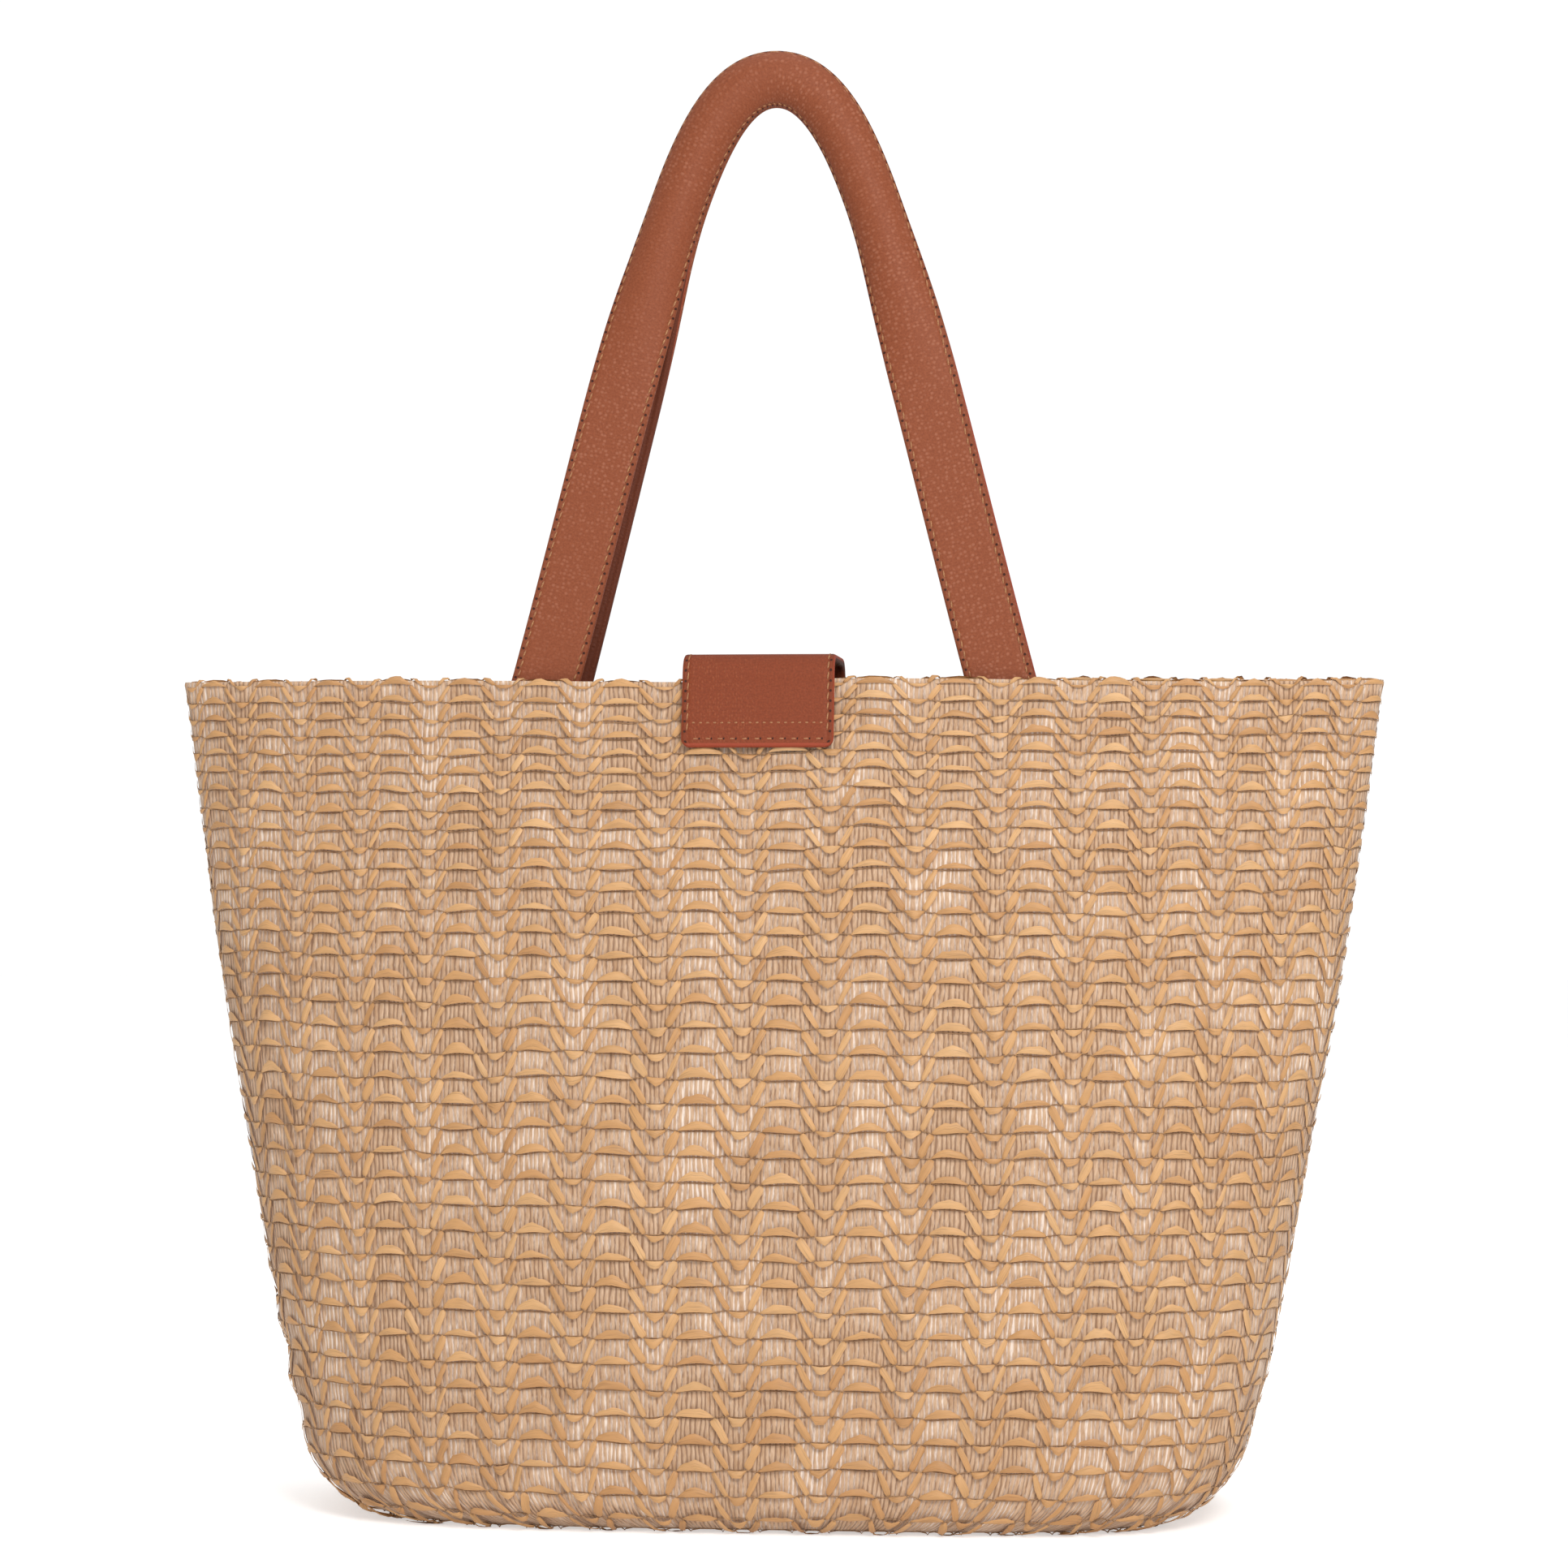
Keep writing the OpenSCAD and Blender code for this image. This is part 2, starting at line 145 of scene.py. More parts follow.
# matt paint: no shine, and brighter to the camera than to the bag, so that it lights the bag only a little
seen = add(tree, "LightPath", out="Is Camera Ray")
glow = add(tree, "MapRange", {0: seen, 3: 0.16, 4: 0.5})
tree.links.new(glow, shader.inputs["Emission Strength"])
floor_mesh.materials.append(floor_paint)

world = bpy.data.worlds.new("studio")
bpy.context.scene.world = world
world.use_nodes = True
sky = world.node_tree
rays = add(sky, "LightPath", out="Is Camera Ray")
brightness = add(sky, "MapRange", {0: rays, 3: 0.56, 4: 1.05})
sky.links.new(brightness, sky.nodes["Background"].inputs["Strength"])
sky.nodes["Background"].inputs["Color"].default_value = colour("#FFFFFF")
bpy.context.scene.view_settings.view_transform = "Standard"


def lamp(name, place, size, power):
    """A square soft lamp aimed at the middle of the bag, with its side in metres and its power in watts."""
    light = bpy.data.lights.new(name, "AREA")
    light.size = size
    light.energy = power
    holder = bpy.data.objects.new(name, light)
    bpy.context.scene.collection.objects.link(holder)
    holder.location = place
    holder.rotation_euler = (Vector((0, 0, 0.2)) - holder.location).to_track_quat("-Z", "Y").to_euler()


lamp("key_lamp", (0.42, -1.15, 0.95), 0.5, 11.6)
lamp("top_lamp", (0.0, -0.1, 2.0), 1.4, 9)
print("lamps and camera placed")

# %% [markdown]
# ## The shape of the bag
# Seen from above, the bag is nearly a rounded rectangle at its base and a thin ellipse at its mouth, and
# its girth changes only slowly down to the rounded edge of the base. So one rule gives every section: a
# rounded curve whose width, depth and squareness change evenly with height. Cloth patterns are measured
# along the cloth, so each section is walked by its length, and a table then turns a place on the cloth
# (how far round, how far down) into a place in space. Everything woven is laid out flat and sent through it.

# %% Sections of the bag
panel_low, panel_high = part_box("back_panel")
HEIGHT = panel_high.z
RIM_HALF_W = panel_high.x
BASE_HALF_W = RIM_HALF_W * 336 / 450
RIM_HALF_D = RIM_HALF_W * 24 / 225
BASE_HALF_D = RIM_HALF_W * 70 / 225
BELLY = 5 * MM        # how far the wall swells out half way up
CORNER_R = 30 * MM    # rounding of the base's edge, seen from the front
EDGE_R = 15 * MM      # and seen from the side
RIM_POWER = 2.0       # 2 makes an ellipse
BASE_POWER = 3.8      # and more makes it squarer
ROUND = 720           # steps round the table
STEP = 2 * MM         # step down the table
ROLL_R = 1.3 * MM     # the cloth turns over the rim with this radius
ROLL_DEPTH = 8 * MM   # and goes this far down inside


def half_w(z):
    """Half the bag's width at height z."""
    return BASE_HALF_W + (RIM_HALF_W - BASE_HALF_W) * z / HEIGHT + BELLY * np.sin(math.pi * z / HEIGHT)


def half_d(z):
    """Half its depth there."""
    return BASE_HALF_D + (RIM_HALF_D - BASE_HALF_D) * z / HEIGHT + BELLY * np.sin(math.pi * z / HEIGHT)


def pull_in(z, radius):
    """How far a rounded bottom edge draws the wall in at height z."""
    low = np.clip(radius - z, 0, radius)
    return radius - np.sqrt(radius ** 2 - low ** 2)


def section(z, places):
    """Points on the section at height z, at shares of its girth counted from the middle of the back."""
    angle = np.linspace(0, 2 * math.pi, 4001)
    bend = 2 / (BASE_POWER + (RIM_POWER - BASE_POWER) * z / HEIGHT)
    x = (half_w(z) - pull_in(z, CORNER_R)) * np.sign(np.sin(angle)) * np.abs(np.sin(angle)) ** bend
    y = -(half_d(z) - pull_in(z, EDGE_R)) * np.sign(np.cos(angle)) * np.abs(np.cos(angle)) ** bend
    walked = np.concatenate([[0], np.cumsum(np.hypot(np.diff(x), np.diff(y)))])
    return np.interp(places, walked / walked[-1], x), np.interp(places, walked / walked[-1], y), walked[-1]


print("base", [round(2 * v, 3) for v in (BASE_HALF_W, BASE_HALF_D)], "m across and deep; mouth",
      [round(2 * v, 3) for v in (RIM_HALF_W, RIM_HALF_D)])

# %% The table of the cloth
heights = np.concatenate([np.linspace(HEIGHT, EDGE_R, 600),
                          EDGE_R * (1 - np.sin(np.linspace(0, math.pi / 2, 60)))[1:]])
depths = half_d(heights) - pull_in(heights, EDGE_R)
downs = np.concatenate([[0], np.cumsum(np.hypot(np.diff(heights), np.diff(depths)))])
DROP = downs[-1]                                # cloth from the rim to the ground, down the middle
down_steps = int(DROP / STEP)
table_down = np.linspace(0, DROP, down_steps + 1)
table_round = np.linspace(0, 1, ROUND + 1)
wall = np.zeros((down_steps + 1, ROUND + 1, 3))
for row, z in enumerate(np.interp(table_down, downs, heights)):
    x, y, girth = section(z, table_round)
    wall[row] = np.stack([x, y, np.full_like(x, z)], 1)
GIRTH = girth                                   # at the ground, where the rounded edge has drawn it in
RIM_GIRTH = section(HEIGHT, table_round)[2]     # at the mouth, which sets the real pitch of the yarns
print("girth at the ground", round(GIRTH, 3), "m, at the mouth", round(RIM_GIRTH, 3), "m; rim to ground",
      round(DROP, 3), "m")

# %% [markdown]
# ## Soft creases
# New cloth over a box-shaped lining stays smooth in the middle and crumples where the base's corners were
# folded in. A few broad waves over the panels and short folds at the lower corners give that. They are
# moves along the cloth's own normal, so the weave follows them.

# %% Waves and folds
def waves(a, b, sizes, seed):
    """Smooth noise between about -1 and 1 over two coordinates, built from a few sine waves."""
    source = np.random.default_rng(seed)
    total = np.zeros(np.broadcast(a, b).shape)
    # five waves of each size, scaled at the end so that nearly all of the sum lies between -1 and 1
    for size in sizes:
        for _ in range(5):
            heading = source.uniform(0, 2 * math.pi)
            phase = source.uniform(0, 2 * math.pi)
            line = a * math.cos(heading) + b * math.sin(heading)
            total = total + np.sin(line * 2 * math.pi / size + phase)
    return total / (2.2 * math.sqrt(5 * len(sizes)) / 1.6)


def around_normals(points):
    """Outward unit normals of a table of points (down, round)."""
    across = np.empty_like(points)
    across[:, 1:-1] = points[:, 2:] - points[:, :-2]
    across[:, 0] = across[:, -1] = points[:, 1] - points[:, -2]
    down = np.gradient(points, axis=0)
    normal = np.cross(down, across)
    return normal / np.maximum(np.linalg.norm(normal, axis=2, keepdims=True), 1e-12)


normals = around_normals(wall)
along = table_round[None, :] * GIRTH            # metres round from the middle of the back, at the ground
down = table_down[:, None]
wrapped = np.where(along > GIRTH / 2, along - GIRTH, along)
fade_rim = np.clip(down / 0.06, 0, 1) ** 2
fade_ground = np.clip((DROP - down) / 0.03, 0, 1)
# adding the sign of y sets the two panels apart in the noise, so they don't swell alike
swells = waves(wall[:, :, 0] + 3 * np.sign(wall[:, :, 1]), down, (0.16, 0.09), 4)
push = 0.9 * MM * swells * fade_rim * fade_ground


def fold_patch(centre, radii, heading, size, depth, seed):
    """Short folds inside an oval patch of cloth: centre and radii in metres round and down."""
    a, b = wrapped - centre[0], down - centre[1]
    envelope = np.exp(-((a / radii[0]) ** 2 + (b / radii[1]) ** 2) ** 1.5)
    line = a * math.cos(heading) + b * math.sin(heading)
    wobble = 0.006 * waves(a, b, (0.05,), seed)
    return depth * envelope * np.sin((line + wobble) * 2 * math.pi / size)


# middle in metres round and down, reach, heading in degrees, pitch in metres, depth in mm, seed
FOLDS = (
    ((-0.192, DROP - 0.062), (0.042, 0.030), 62, 0.021, 3.0, 1),
    ((-0.208, DROP - 0.050), (0.030, 0.034), 120, 0.015, 1.3, 2),
    ((0.196, DROP - 0.050), (0.034, 0.034), -38, 0.026, 1.6, 3),
    ((-0.256, DROP - 0.055), (0.038, 0.030), 60, 0.022, 1.8, 5),
    ((0.252, DROP - 0.060), (0.036, 0.032), 118, 0.022, 1.8, 6),
)
for centre, reach, heading, pitch, deep, seed in FOLDS:
    push = push + fold_patch(centre, reach, math.radians(heading), pitch, deep * MM, seed)
wall = wall + normals * (push * fade_ground)[:, :, None]
# the rim itself rises and falls a little
wall[:, :, 2] += 0.9 * MM * waves(along, along * 0, (0.23, 0.11), 8) * np.exp(-down / 0.03)
wall[:, -1] = wall[:, 0]
normals = around_normals(wall)
print("the cloth is pushed in or out by up to", round(float(np.abs(push).max()) / MM, 1), "mm")

# %% [markdown]
# ## From flat cloth to the bag
# A place on the cloth is read from the table between its points, and what lies on the cloth is moved out
# along the normal there. Above the rim the table ends, so the cloth goes on round a small roll and down
# inside, as a hem does.

# %% Places on the bag
def sample(table, share, depth):
    """Reads a table between its points. share is the part of the girth, and depth is metres down."""
    column = (share % 1.0) * ROUND
    row = np.clip(depth, 0, DROP) / DROP * down_steps
    c, r = np.minimum(column.astype(int), ROUND - 1), np.minimum(row.astype(int), down_steps - 1)
    fc, fr = (column - c)[:, None], (row - r)[:, None]
    top = table[r, c] * (1 - fc) + table[r, c + 1] * fc
    bottom = table[r + 1, c] * (1 - fc) + table[r + 1, c + 1] * fc
    return top * (1 - fr) + bottom * fr


def rim_roll(share, over):
    """Points on the turned edge at the mouth: over is how far past the rim the cloth has gone."""
    base, out = sample(wall, share, np.zeros_like(over)), sample(normals, share, np.full_like(over, 4 * STEP))
    out[:, 2] = 0
    out /= np.linalg.norm(out, axis=1, keepdims=True)
    turn = np.clip(over / ROLL_R, 0, math.pi)
    inside = np.clip(over - math.pi * ROLL_R, 0, None)
    place = base - out * (ROLL_R * (1 - np.cos(turn)))[:, None]
    place[:, 2] += ROLL_R * np.sin(turn) - inside
    normal = out * np.cos(turn)[:, None]
    normal[:, 2] += np.sin(turn)
    return place, normal


def on_bag(share, depth, height):
    """Places on the bag for shares of the girth, metres down from the rim and metres out from the cloth."""
    share, depth = np.asarray(share, float), np.asarray(depth, float)
    place, normal = sample(wall, share, depth), sample(normals, share, depth)
    over = depth < 0
    if over.any():
        place[over], normal[over] = rim_roll(share[over], -depth[over])
    normal /= np.linalg.norm(normal, axis=1, keepdims=True)
    return place + normal * np.asarray(height)[:, None]


rim_middle = on_bag([0.0], [0.0], np.zeros(1))[0]
print("middle of the rim at the back:", rim_middle.round(4))

# %% [markdown]
# ## Strips of grid
# Ribbons, threads, cloth and leather are all long sheets. Each starts as a flat grid, whose vertices know
# their station along it and their lane across it, and is then bent to its place. A tube is a strip whose
# lanes go once round. Two maps travel with the mesh: one in millimetres of real cloth, so that patterns
# keep their true size, and one with a shade for each ribbon.

# %% A mesh from strips of grid
def strips(name, lines, stations, lanes):
    """Flat strips made with the grid operator, one for each line, and where each vertex is on its strip:
    station number, lane number and line number."""
    bm = bmesh.new()
    for line in range(lines):
        bmesh.ops.create_grid(bm, x_segments=stations - 1, y_segments=lanes - 1, size=1.0,
                              matrix=Matrix.Translation((0, 0, line)))
    mesh = bpy.data.meshes.new(name)
    bm.to_mesh(mesh)
    bm.free()
    flat = np.empty(len(mesh.vertices) * 3)
    mesh.vertices.foreach_get("co", flat)
    flat = flat.reshape(-1, 3)
    station = np.rint((flat[:, 0] + 1) / 2 * (stations - 1)).astype(int)
    lane = np.rint((flat[:, 1] + 1) / 2 * (lanes - 1)).astype(int)
    return mesh, station, lane, np.rint(flat[:, 2]).astype(int)


def shape(mesh, places):
    """Moves every vertex to its place."""
    mesh.vertices.foreach_set("co", np.ascontiguousarray(places, np.float32).ravel())
    mesh.update()


def lay_uv(mesh, u, v):
    """Writes a UV map in millimetres of real cloth from one value for each vertex."""
    corners = np.empty(len(mesh.loops), int)
    mesh.loops.foreach_get("vertex_index", corners)
    layer = mesh.uv_layers.new(name="cloth_mm")
    layer.data.foreach_set("uv", np.stack([u[corners], v[corners]], 1).astype(np.float32).ravel())


def tone(mesh, values):
    """A number between 0 and 1 for each vertex, which the material reads as its shade."""
    layer = mesh.attributes.new("tone", "FLOAT", "POINT")
    layer.data.foreach_set("value", np.asarray(values, np.float32))


def outward(mesh, wanted):
    """Turns the faces over if most of them point away from the wanted directions, one for each vertex."""
    first = np.empty(len(mesh.polygons), int)
    mesh.polygons.foreach_get("loop_start", first)
    corners = np.empty(len(mesh.loops), int)
    mesh.loops.foreach_get("vertex_index", corners)
    facing = np.empty(len(mesh.polygons) * 3)
    mesh.polygons.foreach_get("normal", facing)
    if (facing.reshape(-1, 3) * wanted[corners[first]]).sum() < 0:
        mesh.flip_normals()


# %% A finished piece
def finish_piece(name, mesh, body, surface):
    """Puts a mesh in the scene as a piece that moves with a body and takes a finish."""
    mesh.polygons.foreach_set("use_smooth", np.ones(len(mesh.polygons), bool))
    mesh.materials.append(surface)
    piece = bpy.data.objects.new(name, mesh)
    bpy.context.scene.collection.objects.link(piece)
    if body:
        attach(piece, body)
    print(name, len(mesh.polygons), "faces")
    return piece


# %% [markdown]
# ## Straw, jute and thread
# Paper raffia is a flat ribbon of twisted paper: matt, with fine creases along it and slight changes of
# shade from ribbon to ribbon. The ground is jute and cotton yarn, laid upright and a little apart, so the
# pale lining shows between the yarns in places. The binding thread is thin and darker.

# %% Raffia ribbon
def raffia_ribbon():
    """Paper twisted and pressed flat. To the eye it is warm straw with a low, broad shine, fine creases that
    run along it with painted shade in them, and a tone that changes from float to float."""
    made, tree, shader = material("paper_raffia_twisted", **{"Roughness": 0.5, "Sheen Weight": 0.08})
    place = add(tree, "UVMap", uv_map="cloth_mm")
    shade = add(tree, "Attribute", out="Fac", attribute_name="tone")
    # the map is in mm, so 2.3 to a mm across makes creases just under half a millimetre apart
    along_ribbon = add(tree, "Mapping", {"Vector": place, "Scale": (0.22, 2.3, 1)})
    crease = add(tree, "TexNoise", {"Vector": along_ribbon, "Scale": 1.0, "Detail": 4.0, "Roughness": 0.6})
    # and these clouds are about 5 mm across, where the paper took up more or less dye
    blotch = add(tree, "TexNoise", {"Vector": place, "Scale": 0.19, "Detail": 3.0})
    base = add(tree, "ValToRGB", {0: shade},
               stops=((0.0, colour("#B7824F")), (0.5, colour("#CB9963")), (1.0, colour("#DEB17D"))))
    # painted shade darkens the paper down in its creases
    crease_shade = add(tree, "ValToRGB", {0: crease}, stops=((0.28, 0.66), (0.47, 0.98), (0.75, 1.0)))
    spots = add(tree, "ValToRGB", {0: blotch}, stops=((0.3, 0.86), (0.6, 1.0)))
    base = add(tree, "Mix", {0: 1.0, 6: base, 7: crease_shade}, blend_type="MULTIPLY", **TWO_COLOURS)
    base = add(tree, "Mix", {0: 1.0, 6: base, 7: spots}, blend_type="MULTIPLY", **TWO_COLOURS)
    tree.links.new(base, shader.inputs["Base Color"])
    bump = add(tree, "Bump", {"Height": crease, "Strength": 0.5, "Distance": 0.35 * MM})
    tree.links.new(bump, shader.inputs["Normal"])
    return made


raffia = raffia_ribbon()
print("finish:", raffia.name)

# %% Ground of yarns
YARN_PITCH = 1.8      # mm between the middles of two upright yarns
YARN_WANDER = 3.4     # mm that a yarn can drift to the side


def jute_ground():
    """Jute and cotton, carded and loosely spun. To the eye it is dry and matt: soft upright ridges with
    fibres running down them, painted shade in the gaps between them in most places, and pale gaps where the
    lining shows through."""
    made, tree, shader = material("jute_and_cotton_yarn", **{"Roughness": 0.85, "Sheen Weight": 0.15})
    place = add(tree, "UVMap", uv_map="cloth_mm")
    # each yarn wanders a little on its way down
    wander_at = add(tree, "Mapping", {"Vector": place, "Scale": (0.22, 0.06, 1)})
    wander = add(tree, "TexNoise", {"Vector": wander_at, "Scale": 1.0, "Detail": 3.0})
    drift = add(tree, "Math", {0: wander, 1: YARN_WANDER}, operation="MULTIPLY")
    across = add(tree, "SeparateXYZ", {0: place})
    moved = add(tree, "Math", {0: across, 1: drift}, operation="ADD")
    turn = add(tree, "Math", {0: moved, 1: 2 * math.pi / YARN_PITCH}, operation="MULTIPLY")
    swing = add(tree, "Math", {0: turn}, operation="COSINE")
    ridge = add(tree, "MapRange", {0: swing, 1: -1.0, 2: 1.0})        # 1 on a yarn, 0 between two yarns
    # fibres 0.4 mm wide and 5 mm long, yarns that differ from each other, and open patches of 3 to 5 cm
    fibre_at = add(tree, "Mapping", {"Vector": place, "Scale": (2.6, 0.22, 1)})
    fibre = add(tree, "TexNoise", {"Vector": fibre_at, "Scale": 1.0, "Detail": 5.0, "Roughness": 0.7})
    streak_at = add(tree, "Mapping", {"Vector": place, "Scale": (0.62, 0.11, 1)})
    streak = add(tree, "TexNoise", {"Vector": streak_at, "Scale": 1.0, "Detail": 3.0, "Roughness": 0.75})
    patch_at = add(tree, "Mapping", {"Vector": place, "Scale": (0.034, 0.02, 1)})
    patch = add(tree, "TexNoise", {"Vector": patch_at, "Scale": 1.0, "Detail": 3.0})
    yarn = add(tree, "ValToRGB", {0: fibre},
               stops=((0.25, colour("#98704F")), (0.5, colour("#C39A75")), (0.75, colour("#DEBE9D"))))
    tint = add(tree, "ValToRGB", {0: streak}, stops=((0.32, colour("#B48B67")), (0.68, colour("#F0D4B8"))))
    yarn = add(tree, "Mix", {0: 0.5, 6: yarn, 7: tint}, **TWO_COLOURS)
    # where the lining shows, the gaps between the yarns take its pale colour, and elsewhere they hold painted
    # shade
    by_patch = add(tree, "Math", {0: patch, 1: 0.55}, operation="MULTIPLY")
    by_streak = add(tree, "Math", {0: streak, 1: 0.45}, operation="MULTIPLY")
    openness = add(tree, "Math", {0: by_patch, 1: by_streak}, operation="ADD")
    open_share = add(tree, "ValToRGB", {0: openness}, stops=((0.46, 0.0), (0.6, 1.0)))
    gap_tone = add(tree, "Mix", {0: open_share, 6: colour("#86634A"), 7: colour("#FAECE0")}, **TWO_COLOURS)
    gap = add(tree, "ValToRGB", {0: ridge}, stops=((0.06, 1.0), (0.46, 0.0)))
    gap_share = add(tree, "Math", {0: gap, 1: 0.75}, operation="MULTIPLY")
    base = add(tree, "Mix", {0: gap_share, 6: yarn, 7: gap_tone}, **TWO_COLOURS)
    tree.links.new(base, shader.inputs["Base Color"])
    round_yarn = add(tree, "Math", {0: ridge, 1: 0.7}, operation="MULTIPLY")
    hairs = add(tree, "Math", {0: fibre, 1: 0.6}, operation="MULTIPLY")
    relief = add(tree, "Math", {0: round_yarn, 1: hairs}, operation="ADD")
    bump = add(tree, "Bump", {"Height": relief, "Strength": 0.7, "Distance": 0.5 * MM})
    tree.links.new(bump, shader.inputs["Normal"])
    return made


jute = jute_ground()
print("finish:", jute.name)

# %% Binding thread
def binding_thread():
    """Cotton spun in two plies. To the eye it is a dull brown line, with flecks about a millimetre long
    where the plies cross."""
    made, tree, shader = material("spun_binding_thread", **{"Roughness": 0.8})
    place = add(tree, "TexCoord", out="Object")
    grain = add(tree, "TexNoise", {"Vector": place, "Scale": 900.0, "Detail": 2.0})
    flecks = add(tree, "ValToRGB", {0: grain}, stops=((0.35, colour("#8A684B")), (0.7, colour("#B58F69"))))
    tree.links.new(flecks, shader.inputs["Base Color"])
    return made


thread = binding_thread()
print("finish:", thread.name)

# %% [markdown]
# ## The raffia pattern
# One ribbon makes one wave. On its own line it lies flat as a long lens, arched up; a thread pins it, it
# drops to the next line, lies there as a shorter lens, arched down, and climbs back. Each wave therefore
# has four floats and four pinched places. One wave is described once, as a list of places along the
# ribbon, and repeated with a little chance in it, the way a machine repeats a stitch over uneven straw.

# %% One wave of the ribbon
WAVES_ROUND = 34                     # waves round the whole bag
CROWDING = 0.17                      # waves are this share wider in the middle of a panel
WAVE = 30.0                          # mm of pattern in one wave, before it is fitted to the girth
LINE_PITCH = 9.1                     # mm from line to line lower down
RIM_PITCH = 6.1                      # and close to the rim
LONG_LENS = (0.4, 13.6, 3.3)         # start, end and height in mm
SHORT_LENS = (19.2, 25.8, 2.9)
SLANT_W = 2.7                        # width of the ribbon where it slants
PINCH_W = 0.7                        # and where a thread pins it
LENS_END = 0.36                      # half its width where a lens begins
FLOAT = 1.15                         # how high a float arches out


def lens_part(start, end, height, side, line, steps):
    """Places along a lens. side is -1 where it arches up from its line and 1 where it hangs down. A place
    holds mm along, line, mm off the line, half the width, slope, mm out, and 1 where it floats free."""
    made = []
    for q in steps:
        swell = math.sin(math.pi * q) ** 0.85 if 0 < q < 1 else 0.0
        half = LENS_END + (height / 2 - LENS_END) * swell
        made.append((start + (end - start) * q, line, side * (half * 1.3 - 0.3), half, 0.0,
                     0.30 + FLOAT * swell, 1.0))
    return made


def slant_part(start, end, line_from, line_to, steps):
    """Places along the slanting stretch between two lines, which are 0 and 1. It begins and ends a little
    way off them, where the lenses are."""
    made = []
    rise = (line_to - line_from) * (LINE_PITCH - 1.2)
    heading = math.atan2(rise, end - start)
    for q in steps:
        half = SLANT_W / 2 * (1 - 0.30 * abs(2 * q - 1) ** 5)
        line = line_from + (line_to - line_from) * q
        offset = 0.75 * (1 - 2 * q) * (1 if line_to > line_from else -1)
        made.append((start + (end - start) * q, line, offset, half, heading,
                     0.42 + 0.62 * math.sin(math.pi * q), 1.0))
    return made


def pinch(u, line, offset, heading):
    """The place where a thread pins the ribbon down."""
    return [(u, line, offset, PINCH_W / 2, heading, 0.12, 0.0)]


lens_steps = (0.0, 0.07, 0.18, 0.34, 0.5, 0.66, 0.82, 0.93, 1.0)
short_steps = (0.0, 0.09, 0.26, 0.5, 0.74, 0.91, 1.0)
slant_steps = (0.0, 0.14, 0.5, 0.86, 1.0)
one_wave = (
    lens_part(*LONG_LENS, -1, 0.0, lens_steps) + pinch(13.8, 0.0, 0.45, 0.8)
    + slant_part(13.9, 18.6, 0.0, 1.0, slant_steps) + pinch(18.9, 1.0, -0.35, 0.6)
    + lens_part(*SHORT_LENS, 1, 1.0, short_steps) + pinch(26.1, 1.0, -0.35, -0.6)
    + slant_part(26.3, 30.2, 1.0, 0.0, slant_steps) + pinch(30.2, 0.0, 0.45, -0.8)
)
wave_table = np.array(one_wave)
# each place belongs to one of the four floats, whose pinch comes after it
float_steps = (lens_steps, slant_steps, short_steps, slant_steps)
part_of = np.repeat(range(4), [len(steps) + 1 for steps in float_steps])
print("one wave has", len(wave_table), "places along the ribbon")

# %% Lines of the pattern, from the rim to the ground
TOP_LINE = 1.2        # mm from the rim to the first sewn line
OVER_RIM = 4.2        # mm from there up and over the rim, where the first ribbon begins
FINE_ZONE = 130       # mm below the rim over which the lines spread out
LAST_LINE = 4.2       # mm that the last line stays above the ground

line_down = [TOP_LINE]
while line_down[-1] < DROP / MM + LINE_PITCH:
    share = min(1.0, line_down[-1] / FINE_ZONE)
    line_down.append(line_down[-1] + RIM_PITCH + (LINE_PITCH - RIM_PITCH) * share)
line_down = np.array([TOP_LINE - OVER_RIM] + line_down)
ROWS = int((line_down < DROP / MM - 1).sum()) - 1
wanted, drawn = DROP / MM - LAST_LINE - TOP_LINE, line_down[ROWS] - TOP_LINE
line_down = TOP_LINE + (line_down - TOP_LINE) * wanted / drawn
print(ROWS, "ribbons between the rim and the ground")


def line_height(line, u):
    """Millimetres down of a pattern line at u along the cloth. Sewn lines wander a little."""
    low = np.clip(line.astype(int), 0, len(line_down) - 2)
    even = line_down[low] + (line_down[low + 1] - line_down[low]) * (line - low)
    quiet = np.clip(even / 12, 0, 1)
    wander = 0.9 * waves(u, even * 0.6, (130.0, 60.0), 21) + 0.35 * waves(u, even * 2.0, (17.0,), 22)
    return even + quiet * wander


# %% [markdown]
# ## Ribbons on a panel
# All the ribbons of a panel are made together, because they follow one rule. Chance then gives each float
# its own width, slope, crown and shade, as straw has. The ribbons are laid out in millimetres on flat
# cloth and sent to the bag last, so the same function also serves the base.

